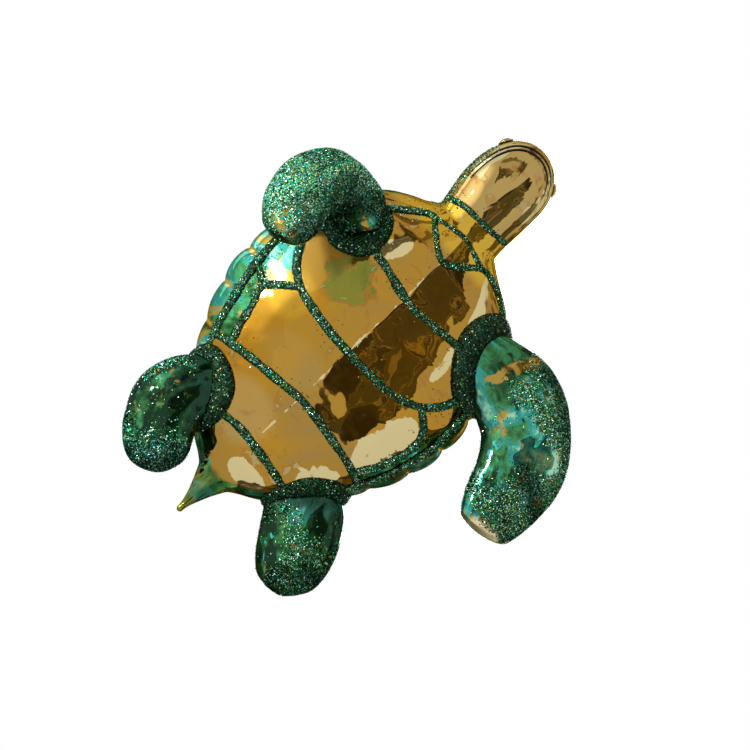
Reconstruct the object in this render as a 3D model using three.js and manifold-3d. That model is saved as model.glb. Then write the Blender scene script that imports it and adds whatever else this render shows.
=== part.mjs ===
// Sea turtle ornament of blown glass, hung level by a wire loop, belly down.
// Millimetres, +Z up, head toward -Y, the turtle's left toward +X.
// The origin is the hang point, at the top of the inside of the wire loop.
import * as THREE from "three";
import { mergeVertices } from "three/addons/utils/BufferGeometryUtils.js";
import Module from "manifold-3d";

// Shell of the body: plan and depths, from its widest section
const SHELL_AT = 6;
const SHELL_HALF_WIDTH = 33.6;
const SHELL_FRONT_LENGTH = 41;
const SHELL_REAR_LENGTH = 45;
const CARAPACE_HEIGHT = 21;
const PLASTRON_DEPTH = 12;
const SCUTE_PITCH = 9.6;
const SCUTE_BULGE = 1.1;
const GLASS_WALL = 1.2;

// Head, neck and tail of the same bubble
const NECK_HALF_WIDTH = 9.4;
const NECK_LENGTH = 10;
const HEAD_HALF_WIDTH = 10.2;
const HEAD_HEIGHT = 8;
const HEAD_DEPTH = 7.8;
const HEAD_LENGTH = 16.3;
const HEAD_ASIDE = 1.7;
const TAIL_LENGTH = 11.2;
const TAIL_HALF_WIDTH = 7;
const TAIL_HALF_HEIGHT = 3.2;

// Hanger: glass neck on the back, metal cap and sprung wire loop
const SPOUT_AT = 4;
const SPOUT_RADIUS = 5;
const SPOUT_BORE = 4;
const SPOUT_HEIGHT = 8.5;
const CAP_WALL = 0.5;
const CAP_SKIRT = 6.5;
const CAP_HOLE = 1.7;
const CAP_FLUTES = 12;
const CAP_FLUTE_DEPTH = 0.25;
const WIRE_DIAMETER = 1;
const LOOP_INNER_RADIUS = 4;
const LEG_GAP = 0.5;
const LEG_LENGTH = 13;

// Glitter beads and the gap that every two neighbouring pieces keep
const TRAIL_WIDTH = 2.1;
const COLLAR_REACH = 2.4;
const GAP = 0.3;

// Places along the body, measured forward from the origin of its rim plane
const shellFront = SHELL_AT + SHELL_FRONT_LENGTH;
const shellRear = SHELL_AT - SHELL_REAR_LENGTH;
const headAt = shellFront + NECK_LENGTH;
const snoutAt = headAt + HEAD_LENGTH;
const tailTip = shellRear - TAIL_LENGTH;

// Flippers, sized by the half width of the shell: the station of the root, as in the trails below, how far
// inside the rim and below it the root lies, the sizes, and in degrees how the path turns from straight out
// toward the tail and dips toward the belly side. The bend is the share of the path where it starts to turn
// and the share that it takes. The taper is how late the blade draws in, and the tip is what the end keeps.
const FLIPPERS = [
  {
    name: "front_left",
    side: 1,
    along: 0.524,
    sink: SHELL_HALF_WIDTH * 0.33,
    drop: SHELL_HALF_WIDTH * 0.075,
    length: SHELL_HALF_WIDTH * 1.61,
    chord: SHELL_HALF_WIDTH * 0.65,
    thickness: SHELL_HALF_WIDTH * 0.31,
    turn: [-4, 80],
    bend: [0.1, 0.75],
    dip: [1, 16],
    taper: 2.2,
    tip: 0.42,
  },
  {
    name: "front_right",
    side: -1,
    along: 0.555,
    sink: SHELL_HALF_WIDTH * 0.265,
    drop: SHELL_HALF_WIDTH * 0.16,
    length: SHELL_HALF_WIDTH * 1.22,
    chord: SHELL_HALF_WIDTH * 0.49,
    thickness: SHELL_HALF_WIDTH * 0.39,
    turn: [-40, 115],
    bend: [-0.07, 0.85],
    dip: [28, 55],
    taper: 2.4,
    tip: 0.34,
  },
  {
    name: "rear_left",
    side: 1,
    along: -0.567,
    sink: SHELL_HALF_WIDTH * 0.3,
    drop: SHELL_HALF_WIDTH * 0.01,
    length: SHELL_HALF_WIDTH * 0.94,
    chord: SHELL_HALF_WIDTH * 0.583,
    thickness: SHELL_HALF_WIDTH * 0.3,
    turn: [54, 62],
    bend: [0.1, 0.75],
    dip: [2, 6],
    taper: 2.2,
    tip: 0.3,
  },
  {
    name: "rear_right",
    side: -1,
    along: -0.578,
    sink: SHELL_HALF_WIDTH * 0.33,
    drop: SHELL_HALF_WIDTH * 0.075,
    length: SHELL_HALF_WIDTH * 0.97,
    chord: SHELL_HALF_WIDTH * 0.54,
    thickness: SHELL_HALF_WIDTH * 0.31,
    turn: [50, 142],
    bend: [0.1, 0.75],
    dip: [8, 14],
    taper: 2.2,
    tip: 0.4,
  },
];

// Glitter trails on the belly side, in the order in which they are laid. Each point is a share along the
// shell, from -1 at its stern to 1 at its nose and on along the neck, and a share of the half width across
// it, positive on the turtle's left. A trail ends inside a collar, or on a point of an earlier trail.
const TRAILS = {
  marginal_line_right: [[0.47, -0.91], [0.34, -0.93], [-0.022, -0.876], [-0.22, -0.86], [-0.445, -0.873],
    [-0.56, -0.9]],
  marginal_line_left: [[-0.58, 0.92], [-0.455, 0.908], [-0.2, 0.905], [0.1, 0.915], [0.34, 0.94]],
  femoral_line: [[-0.71, -0.55], [-0.69, -0.2], [-0.7, 0.02], [-0.71, 0.24], [-0.745, 0.7]],
  abdominal_line: [[-0.445, -0.873], [-0.418, -0.7], [-0.393, -0.5], [-0.368, -0.2], [-0.352, 0.05],
    [-0.375, 0.35], [-0.4, 0.6], [-0.427, 0.77], [-0.455, 0.908]],
  pectoral_line: [[0.43, -0.78], [0.29, -0.81], [0.14, -0.69], [0.056, -0.54], [0.018, -0.33], [0, -0.1],
    [0, 0.25], [0.024, 0.47], [0.085, 0.63], [0.18, 0.75], [0.32, 0.85]],
  humeral_line: [[0.53, -0.8], [0.5, -0.33], [0.45, 0], [0.45, 0.2], [0.5, 0.75]],
  gular_line: [[0.61, -0.84], [0.81, -0.7], [0.9, -0.56], [0.84, -0.3], [0.755, 0], [0.83, 0.24],
    [0.895, 0.5], [0.89, 0.76], [0.83, 0.9], [0.66, 0.96]],
  neck_line: [[0.9, -0.56], [0.94, 0], [0.895, 0.5]],
  throat_line: [[1.16, -0.95], [1.28, -0.5], [1.3, 0], [1.34, 0.5], [1.42, 0.95]],
  bridge_line_right: [[0.056, -0.54], [-0.084, -0.73], [-0.2, -0.71], [-0.31, -0.71], [-0.418, -0.7]],
  bridge_line_left: [[-0.427, 0.77], [-0.324, 0.8], [-0.21, 0.82], [-0.067, 0.81], [0.012, 0.75],
    [0.085, 0.63]],
  bridge_tick_right: [[-0.022, -0.876], [-0.084, -0.73]],
};

// Glitter trails on the back, in the same shares: a zigzag on either side of the middle row of scutes, the
// lines between the side scutes, which run from its outer corners, and the line above the marginal scutes.
const ZIGZAG = [[0.86, 0.1], [0.72, 0.26], [0.58, 0.17], [0.4, 0.34], [0.2, 0.24], [-0.03, 0.38],
  [-0.27, 0.24], [-0.45, 0.33], [-0.62, 0.18], [-0.78, 0.24], [-0.9, 0.08]];
const COSTALS = [[[0.72, 0.26], [0.7, 0.5], [0.64, 0.8]], [[0.4, 0.34], [0.4, 0.6], [0.36, 0.89]],
  [[-0.03, 0.38], [-0.03, 0.65], [-0.04, 0.9]], [[-0.45, 0.33], [-0.47, 0.6], [-0.52, 0.88]],
  [[-0.78, 0.24], [-0.82, 0.45], [-0.86, 0.7]]];
const RIM_LINE = [[0.9, 0.3], [0.8, 0.66], [0.64, 0.8], [0.36, 0.89], [0.15, 0.905], [-0.04, 0.9],
  [-0.3, 0.895], [-0.52, 0.88], [-0.72, 0.82], [-0.86, 0.7], [-0.95, 0.4]];

// Numbers of facets
const BODY_SIDES = 28;
const BODY_STEP = SCUTE_PITCH / 3;
const CAVITY_SIDES = 16;
const FLIPPER_SIDES = 14;
const FLIPPER_HOLLOW_SIDES = 8;
const FLIPPER_STEPS = 10;
const TRAIL_SIDES = 6;
const TRAIL_STEP = TRAIL_WIDTH * 1.25;
const BACK_TRAIL_STEP = TRAIL_WIDTH * 2;
const WIRE_SIDES = 8;
const WIRE_STEPS = 36;
const SPOUT_SIDES = 24;

const wasm = await Module();
wasm.setup();

const material = (color, roughness, metalness) =>
  new THREE.MeshStandardMaterial({ color, roughness, metalness });
const goldLacquer = material(0xb98d3e, 0.12, 0.6);
const greenLacquer = material(0x1f6b4f, 0.2, 0.3);
const glitter = material(0x1d4a34, 0.55, 0.4);
const brass = material(0xc9a24a, 0.3, 1);

const clamp = THREE.MathUtils.clamp;
const radians = THREE.MathUtils.degToRad;
const smooth = (value) => THREE.MathUtils.smoothstep(value, 0, 1);
const mix = THREE.MathUtils.lerp;
const turnAt = (share) => share * 2 * Math.PI;
const UP = new THREE.Vector3(0, 0, 1);

// A point given by its station forward, its distance to the turtle's left and its height above the rim plane
const place = (forward, left, height) => new THREE.Vector3(left, -forward, height);

// The station of a share along the shell, or past 1 along the neck
function stationAt(share) {
  if (share > 1) return shellFront + (share - 1) * NECK_LENGTH;
  return SHELL_AT + share * (share > 0 ? SHELL_FRONT_LENGTH : SHELL_REAR_LENGTH);
}

// How full the shell is at a station, 1 at its widest; the powers shape its nose and its stern
function shellShare(station, nose, sternPower, stern) {
  const ahead = clamp((station - SHELL_AT) / SHELL_FRONT_LENGTH, 0, 1);
  const astern = clamp((SHELL_AT - station) / SHELL_REAR_LENGTH, 0, 1);
  return (1 - ahead ** 2) ** nose * (1 - astern ** sternPower) ** stern;
}

// The neck runs out of the shell and swells into the head, which ends in a blunt snout
function headShare(station) {
  const blunt = 2.8;
  const within = SHELL_FRONT_LENGTH * 0.4;
  const snout = Math.sqrt(1 - clamp((station - headAt) / HEAD_LENGTH, 0, 1) ** blunt);
  const neck = NECK_HALF_WIDTH / HEAD_HALF_WIDTH;
  const swell = neck + (1 - neck) * smooth((station - headAt + NECK_LENGTH) / NECK_LENGTH);
  return snout * swell * smooth((station - shellFront + within + NECK_LENGTH) / within);
}

// The tail is a cone with slightly hollow flanks that fades into the shell
function tailShare(station) {
  const rise = clamp((station - tailTip) / (TAIL_LENGTH * 1.43), 0, 1.2);
  return rise ** 1.15 * smooth((SHELL_AT - station) / (SHELL_REAR_LENGTH * 0.36));
}

// Three bulges melt into one another as a power sum, the more sharply the higher the power
const MELT_POWER = 3.2;
const melt = (...bulges) => bulges.reduce((sum, bulge) => sum + bulge ** MELT_POWER, 0) ** (1 / MELT_POWER);

// Half width, height and depth of the bubble at a station, and where its section is centred.
// Along the rim of the shell the marginal scutes bulge out, with a notch between every two.
function sectionAt(station, bulge = SCUTE_BULGE) {
  const shellWidth = SHELL_HALF_WIDTH * shellShare(station, 0.5, 1.7, 0.7);
  const headWidth = HEAD_HALF_WIDTH * headShare(station);
  const tailWidth = TAIL_HALF_WIDTH * tailShare(station);
  const width = melt(shellWidth, headWidth, tailWidth);
  const shellPart = clamp((shellWidth / width) ** MELT_POWER, 0, 1);
  const scute = Math.abs(Math.sin((Math.PI * (station - SHELL_AT)) / SCUTE_PITCH)) ** 0.6;
  return {
    width: width + bulge * scute * smooth(shellPart * 2 - 1),
    height: melt(
      CARAPACE_HEIGHT * shellShare(station, 0.62, 1.9, 0.62),
      HEAD_HEIGHT * headShare(station),
      TAIL_HALF_HEIGHT * tailShare(station),
    ),
    depth: melt(
      PLASTRON_DEPTH * shellShare(station, 0.55, 2.2, 0.6),
      HEAD_DEPTH * headShare(station),
      TAIL_HALF_HEIGHT * tailShare(station),
    ),
    aside: -HEAD_ASIDE * smooth((station - shellFront + NECK_LENGTH) / (2 * NECK_LENGTH)),
    shellPart,
  };
}

// A point of the bubble at a station and a turn around it from the turtle's left over the back.
// The section is a lens with a crease down the belly on the shell, and round on head and tail.
// The inside of the wall lies inset from it, and passes the notches in the rim without a bulge.
function bubblePoint(station, turn, inset) {
  const section = sectionAt(station, inset > 0 ? 0 : SCUTE_BULGE);
  const across = Math.cos(turn);
  const up = Math.abs(Math.sin(turn));
  const sharpness = 2 / (2 - 0.62 * section.shellPart);
  const crease = 0.16 * section.shellPart;
  const left = section.aside + (section.width - inset) * across;
  if (Math.sin(turn) >= 0) {
    return place(station, left, (section.height - inset) * up ** (1 + 0.2 * section.shellPart));
  }
  const fall = (1 - crease) * up ** sharpness + crease * (1 - Math.abs(across));
  return place(station, left, -(section.depth - inset) * fall);
}

// The belly and the back at a station and a share of the half width across it
const bellyPoint = (station, share) => bubblePoint(station, -Math.acos(clamp(share, -0.995, 0.995)), 0);
const backPoint = (station, share) => bubblePoint(station, Math.acos(clamp(share, -0.995, 0.995)), 0);

// A closed skin over rings of points, with a middle point at each end
function loft(rings, firstTip, lastTip) {
  const sides = rings[0].length;
  const middle = (ring) => ring.reduce((sum, p) => sum.add(p), new THREE.Vector3()).divideScalar(sides);
  const points = [...rings.flat(), firstTip ?? middle(rings[0]), lastTip ?? middle(rings.at(-1))];
  const lastRing = (rings.length - 1) * sides;
  const faces = [];
  for (let side = 0; side < sides; side += 1) {
    const next = (side + 1) % sides;
    for (let start = 0; start < lastRing; start += sides) {
      faces.push(start + side, start + next, start + sides + next);
      faces.push(start + side, start + sides + next, start + sides + side);
    }
    faces.push(points.length - 2, next, side);
    faces.push(points.length - 1, lastRing + side, lastRing + next);
  }
  const geometry = new THREE.BufferGeometry().setFromPoints(points);
  geometry.setIndex(faces);
  return geometry;
}

// The same skin moved outward by a distance
function grown(geometry, distance) {
  const result = geometry.clone();
  result.computeVertexNormals();
  const points = result.attributes.position;
  const normals = result.attributes.normal;
  const point = new THREE.Vector3();
  const normal = new THREE.Vector3();
  for (let index = 0; index < points.count; index += 1) {
    point.fromBufferAttribute(points, index);
    normal.fromBufferAttribute(normals, index);
    point.addScaledVector(normal, distance);
    points.setXYZ(index, point.x, point.y, point.z);
  }
  return result;
}

// Between a closed skin and a solid that can be joined and cut
function solid(geometry) {
  return new wasm.Manifold(new wasm.Mesh({
    numProp: 3,
    vertProperties: new Float32Array(geometry.attributes.position.array),
    triVerts: new Uint32Array(geometry.index.array),
  }));
}

function skin(body) {
  const { vertProperties, triVerts } = body.getMesh();
  const geometry = new THREE.BufferGeometry();
  geometry.setAttribute("position", new THREE.BufferAttribute(vertProperties, 3));
  geometry.setIndex(new THREE.BufferAttribute(triVerts, 1));
  geometry.computeVertexNormals();
  return geometry;
}

// A round tube along a row of points, closed by flat ends; the reference is a direction off its path
function tube(centres, radius, sides, reference) {
  const rings = centres.map((centre, index) => {
    const before = centres[Math.max(index - 1, 0)];
    const after = centres[Math.min(index + 1, centres.length - 1)];
    const ahead = after.clone().sub(before).normalize();
    const normal = ahead.clone().cross(reference).normalize();
    const binormal = ahead.clone().cross(normal);
    return Array.from({ length: sides }, (_, side) => {
      const turn = turnAt(side / sides);
      const point = centre.clone().addScaledVector(normal, radius * Math.cos(turn));
      return point.addScaledVector(binormal, radius * Math.sin(turn));
    });
  });
  return loft(rings);
}

const ornament = new THREE.Group();

function add(name, geometry, finish) {
  const mesh = new THREE.Mesh(geometry, finish);
  mesh.name = name;
  ornament.add(mesh);
}

// Rings of the bubble: at even steps that fall on the notches, then closer together round the snout
function bubbleRings(from, to, spacing, sides, inset) {
  const first = SHELL_AT - Math.floor((SHELL_AT - from) / spacing) * spacing;
  const stations = [];
  for (let station = first; station < headAt; station += spacing) stations.push(station);
  const snoutSteps = 7;
  for (let step = 0; step < snoutSteps; step += 1) {
    const station = headAt + HEAD_LENGTH * Math.sin((Math.PI / 2) * (step / snoutSteps));
    if (station <= to) stations.push(station);
  }
  const turns = Array.from({ length: sides }, (_, side) => turnAt(side / sides));
  return stations.map((station) => turns.map((turn) => bubblePoint(station, turn, inset)));
}

const tailStart = tailTip + TAIL_LENGTH * 0.12;
const tips = [place(tailTip, 0, 0), place(snoutAt, -HEAD_ASIDE, 0)];
const bubbleSkin = loft(bubbleRings(tailStart, snoutAt, BODY_STEP, BODY_SIDES, 0), ...tips);
const bubble = solid(bubbleSkin);
const bubbleClear = solid(grown(bubbleSkin, GAP));
const cavityRings = bubbleRings(
  shellRear + 2 * GLASS_WALL, snoutAt - 2 * GLASS_WALL, BODY_STEP, CAVITY_SIDES, GLASS_WALL,
);
const cavity = solid(loft(cavityRings));

// A round bar standing on the back at the spout
function spoutBar(radius, from, to) {
  const bar = new THREE.CylinderGeometry(radius, radius, to - from, SPOUT_SIDES);
  bar.rotateX(Math.PI / 2);
  const at = place(SPOUT_AT, 0, (from + to) / 2);
  bar.translate(at.x, at.y, at.z);
  bar.deleteAttribute("normal");
  bar.deleteAttribute("uv");
  return solid(mergeVertices(bar));
}

const backHeight = sectionAt(SPOUT_AT).height;
const spoutTop = backHeight + SPOUT_HEIGHT;
const spout = spoutBar(SPOUT_RADIUS, backHeight - GLASS_WALL * 0.7, spoutTop);
const bore = spoutBar(SPOUT_BORE, backHeight - 3 * GLASS_WALL, spoutTop + GAP);
add("glass_body", skin(bubble.add(spout).subtract(cavity).subtract(bore)), goldLacquer);

// Where a flipper's middle line is at a share of its length, and which way it points there
function flipperFrame(flipper, share) {
  const substeps = 24;
  const station = stationAt(flipper.along);
  const rim = sectionAt(station).width;
  const at = place(station, flipper.side * (rim - flipper.sink), -flipper.drop);
  const heading = (part) => {
    const turn = radians(mix(...flipper.turn, smooth((part - flipper.bend[0]) / flipper.bend[1])));
    const dip = radians(mix(...flipper.dip, part));
    const level = Math.cos(dip);
    return place(-Math.sin(turn) * level, flipper.side * Math.cos(turn) * level, -Math.sin(dip));
  };
  for (let step = 0; step < substeps; step += 1) {
    const part = (share * (step + 0.5)) / substeps;
    at.addScaledVector(heading(part), (flipper.length * share) / substeps);
  }
  return { at, ahead: heading(share) };
}

// Oval rings along a flipper, slender at the root, full in the middle and drawn in to the blunt tip
function flipperRings(flipper, fromShare, toShare, sides, inset) {
  const rings = [];
  for (let step = 0; step <= FLIPPER_STEPS; step += 1) {
    const share = mix(fromShare, toShare, step / FLIPPER_STEPS);
    const { at, ahead } = flipperFrame(flipper, share);
    const lead = ahead.clone().cross(UP).multiplyScalar(flipper.side).normalize();
    const belly = ahead.clone().cross(lead);
    const swell = smooth(share / 0.4);
    const drawn = (1 - clamp(share * 2 - 1, 0, 1) ** flipper.taper) ** 0.6;
    const full = mix(flipper.tip, 1, drawn);
    const chord = (flipper.chord / 2) * mix(0.74, 1, swell) * full - inset;
    const thick = (flipper.thickness / 2) * mix(0.65, 1, swell) * full - inset;
    const ring = [];
    for (let side = 0; side < sides; side += 1) {
      const turn = turnAt(side / sides);
      const point = at.clone();
      point.addScaledVector(lead, chord * Math.cos(turn));
      point.addScaledVector(belly, thick * Math.sin(turn));
      ring.push(point);
    }
    rings.push(ring);
  }
  return rings;
}

// Each flipper is a sock of glass whose open root sits on the bubble.
// Its collar fills the corner between the two, out to the same reach along both.
const laid = [];
const bubbleReach = solid(grown(bubbleSkin, GAP + COLLAR_REACH));
for (const flipper of FLIPPERS) {
  const outer = loft(flipperRings(flipper, 0, 1, FLIPPER_SIDES, 0));
  const end = 1 - (1.5 * GLASS_WALL) / flipper.length;
  const inner = loft(flipperRings(flipper, -0.02, end, FLIPPER_HOLLOW_SIDES, GLASS_WALL));
  const sock = solid(outer).subtract(solid(inner)).subtract(bubbleClear);
  add(`${flipper.name}_flipper`, skin(sock), greenLacquer);
  const reach = solid(grown(outer, GAP + COLLAR_REACH));
  const bead = reach.intersect(bubbleReach).subtract(solid(grown(outer, GAP))).subtract(bubbleClear);
  add(`${flipper.name}_collar`, skin(bead), glitter);
  laid.push(solid(grown(outer, GAP + COLLAR_REACH + GAP)));
}

// A round bead through points given as shares, its middle on a surface of the bubble
function trailBead(points, surface, spacing) {
  const plan = new THREE.SplineCurve(points.map(([along, across]) => new THREE.Vector2(along, across)));
  const onBubble = (steps) => plan.getPoints(steps).map((at) => surface(stationAt(at.x), at.y));
  const stretches = points.length - 1;
  const length = new THREE.CatmullRomCurve3(onBubble(stretches)).getLength();
  const steps = stretches * Math.ceil(length / (stretches * spacing));
  return tube(onBubble(steps), TRAIL_WIDTH / 2, TRAIL_SIDES, UP);
}

// What is left of a bead above the glass, cut short of the collars and trails laid before it
const aboveGlass = (bead) =>
  laid.reduce((rest, earlier) => rest.subtract(earlier), bead.subtract(bubbleClear));

// The trails of the back run into one another, so they are one net of glue, alike on both sides
const mirrored = (points) => points.map(([along, across]) => [along, -across]);
const crossings = [2, 4, 6, 8].map((corner) => [ZIGZAG[corner], ...mirrored([ZIGZAG[corner]])]);
const backTrails = [ZIGZAG, RIM_LINE, ...COSTALS].flatMap((points) => [points, mirrored(points)]);
const net = [...backTrails, ...crossings]
  .map((points) => solid(trailBead(points, backPoint, BACK_TRAIL_STEP)))
  .reduce((sum, bead) => sum.add(bead));
add("carapace_lines", skin(aboveGlass(net)), glitter);

// On the belly each trail is a half-round bead of its own
for (const [name, points] of Object.entries(TRAILS)) {
  const bead = trailBead(points, bellyPoint, TRAIL_STEP);
  add(name, skin(aboveGlass(solid(bead))), glitter);
  laid.push(solid(grown(bead, GAP)));
}

// Cap: a thin fluted cup over the spout, with one round hole for both legs of the wire
const capInner = SPOUT_RADIUS + GAP;
const capOuter = capInner + CAP_WALL;
const capFloor = spoutTop + GAP;
const capTop = capFloor + CAP_WALL;
const capMouth = capFloor - CAP_SKIRT;
const capProfile = [
  [CAP_HOLE, capFloor], [capInner, capFloor], [capInner, capMouth], [capOuter, capMouth], [capOuter, capTop],
  [CAP_HOLE, capTop], [CAP_HOLE, capFloor],
].map(([radius, height]) => new THREE.Vector2(radius, height));
const cap = new THREE.LatheGeometry(capProfile, CAP_FLUTES * 3);
cap.rotateX(Math.PI / 2);
const capPoints = cap.attributes.position;
for (let index = 0; index < capPoints.count; index += 1) {
  const point = new THREE.Vector3().fromBufferAttribute(capPoints, index);
  const angle = Math.atan2(point.y, point.x);
  const flute = point.z < capFloor ? CAP_FLUTE_DEPTH * (1 - Math.cos(CAP_FLUTES * angle)) : 0;
  const spread = 1 + flute / capInner;
  capPoints.setXYZ(index, point.x * spread, point.y * spread, point.z);
}
const spoutPlace = place(SPOUT_AT, 0, 0);
cap.translate(spoutPlace.x, spoutPlace.y, 0);
add("hanger_cap", cap, brass);

// Wire: one length bent into a loop, its two legs side by side through the cap and spread in the spout
const wireRadius = WIRE_DIAMETER / 2;
const legAside = LEG_GAP / 2 + wireRadius;
const legSpread = SPOUT_BORE - GAP - wireRadius;
const loopRadius = LOOP_INNER_RADIUS + wireRadius;
const loopCentre = capTop + wireRadius + loopRadius;
const legFoot = capFloor - LEG_LENGTH;
const half = [[legSpread, legFoot], [mix(legAside, legSpread, 0.45), mix(capFloor, legFoot, 0.5)],
  [legAside, capFloor - wireRadius], [legAside, capTop + wireRadius]];
for (const degrees of [45, 75, 105, 135, 160]) {
  const turn = radians(degrees);
  half.push([loopRadius * Math.sin(turn), loopCentre - loopRadius * Math.cos(turn)]);
}
const bend = ([aside, height]) => place(SPOUT_AT, aside, height);
const otherHalf = half.map(([aside, height]) => [-aside, height]).reverse();
const loopTop = [0, loopCentre + loopRadius];
const wirePath = new THREE.CatmullRomCurve3([...half, loopTop, ...otherHalf].map(bend));
add("spring_wire", tube(wirePath.getPoints(WIRE_STEPS), wireRadius, WIRE_SIDES, place(1, 0, 0)), brass);

ornament.position.copy(place(SPOUT_AT, 0, loopCentre + LOOP_INNER_RADIUS)).negate();

export default ornament;
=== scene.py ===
import bpy
import numpy as np
from mathutils import Matrix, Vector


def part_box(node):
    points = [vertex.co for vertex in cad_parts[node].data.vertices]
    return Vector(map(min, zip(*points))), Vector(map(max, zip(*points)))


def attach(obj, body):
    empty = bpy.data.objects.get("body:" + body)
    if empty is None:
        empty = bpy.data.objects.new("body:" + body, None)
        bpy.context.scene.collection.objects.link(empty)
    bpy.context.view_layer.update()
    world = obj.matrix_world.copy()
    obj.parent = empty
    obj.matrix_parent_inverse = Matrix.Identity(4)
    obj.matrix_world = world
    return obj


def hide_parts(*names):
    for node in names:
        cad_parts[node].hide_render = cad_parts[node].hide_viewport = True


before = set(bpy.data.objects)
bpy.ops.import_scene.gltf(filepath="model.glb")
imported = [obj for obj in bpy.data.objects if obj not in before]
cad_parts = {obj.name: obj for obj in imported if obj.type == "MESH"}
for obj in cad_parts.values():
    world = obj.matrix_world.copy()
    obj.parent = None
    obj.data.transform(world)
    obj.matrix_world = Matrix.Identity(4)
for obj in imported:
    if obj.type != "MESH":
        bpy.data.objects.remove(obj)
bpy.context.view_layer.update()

# Glass bubble: shell, neck, head and tail are one bubble of thin blown glass, silvered inside.
# Clear lacquers colour the silver, gold under the belly, green and teal over the flanks, back and tail.
# The marginal scutes are blown into its rim, and everything else is bonded to it or hangs in it.
MM = 0.001
SHELL_AT = 6.0
SHELL_HALF_WIDTH = 33.6
SHELL_FRONT = 41.0
SHELL_REAR = 45.0
CARAPACE_HEIGHT = 21.0
PLASTRON_DEPTH = 12.0
PLASTRON_CREASE = 0.16
SCUTE_PITCH = 9.6
SCUTE_BULGE = 1.1
SCUTE_MIDDLE = 0.75
SCUTE_POWER = 0.6
RIM_POWER = 7
NECK_HALF_WIDTH = 9.4
NECK_LENGTH = 10.0
HEAD_HALF_WIDTH = 10.2
HEAD_HEIGHT = 8.0
HEAD_DEPTH = 7.8
HEAD_LENGTH = 16.3
HEAD_ASIDE = 1.7
SNOUT_POWER = 2.8
NECK_WITHIN = 0.4
TAIL_LENGTH = 11.2
TAIL_HALF_WIDTH = 7.0
TAIL_HALF_HEIGHT = 3.2
TAIL_POWER = 1.15
TAIL_OVERLAP = 1.43
TAIL_WITHIN = 0.36
TAIL_NUB = 0.8
MELT_POWER = 3.2
SHELL_NOSE = SHELL_AT + SHELL_FRONT
SHELL_STERN = SHELL_AT - SHELL_REAR
HEAD_AT = SHELL_NOSE + NECK_LENGTH
SNOUT_AT = HEAD_AT + HEAD_LENGTH
TAIL_TIP = SHELL_STERN - TAIL_LENGTH
SPOUT_AT = 4.0
SPOUT_BORE = 4.0
SPOUT_HEIGHT = 8.5


def smooth(x):
    """Smoothstep: 3x^2 - 2x^3 of x held between 0 and 1."""
    x = np.clip(x, 0, 1)
    return x * x * (3 - 2 * x)


def melt(*bulges):
    """Bulges flow into one another: the root of the sum of their powers."""
    return sum(bulge**MELT_POWER for bulge in bulges) ** (1 / MELT_POWER)


def shell_share(u, nose, stern_power, stern):
    """Fullness of the shell at station u: an ellipse-like fall toward nose and stern, each with its power."""
    ahead = np.clip((u - SHELL_AT) / SHELL_FRONT, 0, 1)
    astern = np.clip((SHELL_AT - u) / SHELL_REAR, 0, 1)
    return (1 - ahead**2) ** nose * (1 - astern**stern_power) ** stern


def head_share(u):
    """Fullness of neck and head: the neck swells to the head, which ends in a blunt round snout."""
    within = SHELL_FRONT * NECK_WITHIN
    snout = np.sqrt(1 - np.clip((u - HEAD_AT) / HEAD_LENGTH, 0, 1) ** SNOUT_POWER)
    neck = NECK_HALF_WIDTH / HEAD_HALF_WIDTH
    swell = neck + (1 - neck) * smooth((u - HEAD_AT + NECK_LENGTH) / NECK_LENGTH)
    return snout * swell * smooth((u - SHELL_NOSE + within + NECK_LENGTH) / within)


def tail_share(u):
    """Fullness of the tail: a cone with slightly hollow flanks, a power of the way from its tip."""
    rise = np.clip((u - TAIL_TIP) / (TAIL_LENGTH * TAIL_OVERLAP), 0, 1.2)
    return rise**TAIL_POWER * smooth((SHELL_AT - u) / (SHELL_REAR * TAIL_WITHIN))


def section(u):
    """Half width, height, depth and sideways shift of the bubble at station u, and its share of shell."""
    head = head_share(u)
    tail = tail_share(u)
    behind = np.clip((u - TAIL_TIP) / TAIL_NUB, 0, 1)
    nub = TAIL_NUB * np.sqrt(behind * (2 - behind)) * (u < SHELL_STERN)
    shell_width = SHELL_HALF_WIDTH * shell_share(u, 0.5, 1.7, 0.7)
    shell_height = CARAPACE_HEIGHT * shell_share(u, 0.62, 1.9, 0.62)
    shell_depth = PLASTRON_DEPTH * shell_share(u, 0.55, 2.2, 0.6)
    width = melt(shell_width, HEAD_HALF_WIDTH * head, TAIL_HALF_WIDTH * tail, nub)
    part = np.clip((shell_width / np.maximum(width, 1e-6)) ** MELT_POWER, 0, 1)
    width = width + SCUTE_BULGE * SCUTE_MIDDLE * smooth(2 * part - 1)
    height = melt(shell_height, HEAD_HEIGHT * head, TAIL_HALF_HEIGHT * tail, nub)
    depth = melt(shell_depth, HEAD_DEPTH * head, TAIL_HALF_HEIGHT * tail, nub)
    aside = -HEAD_ASIDE * smooth((u - SHELL_NOSE + NECK_LENGTH) / (2 * NECK_LENGTH))
    return width, height, depth, aside, part


def rise_and_fall(u, across):
    """Heights of back and belly over the rim plane at a share across: lenses, the belly with a crease."""
    _, height, depth, _, part = section(u)
    lift = np.sqrt(np.clip(1 - across**2, 0, 1))
    crease = PLASTRON_CREASE * part
    back = height * lift ** (1 + 0.2 * part)
    belly = -depth * ((1 - crease) * lift ** (2 / (2 - 0.62 * part)) + crease * (1 - np.abs(across)))
    return back, belly


def bubble_point(u, turn):
    """The bubble at station u and a turn from the turtle's left over the back: (forward, left, up) in mm."""
    u, turn = np.broadcast_arrays(u, turn)
    width, _, _, aside, _ = section(u)
    across = np.cos(turn)
    back, belly = rise_and_fall(u, across)
    return np.stack([u, aside + width * across, np.where(np.sin(turn) >= 0, back, belly)], -1)


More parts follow.
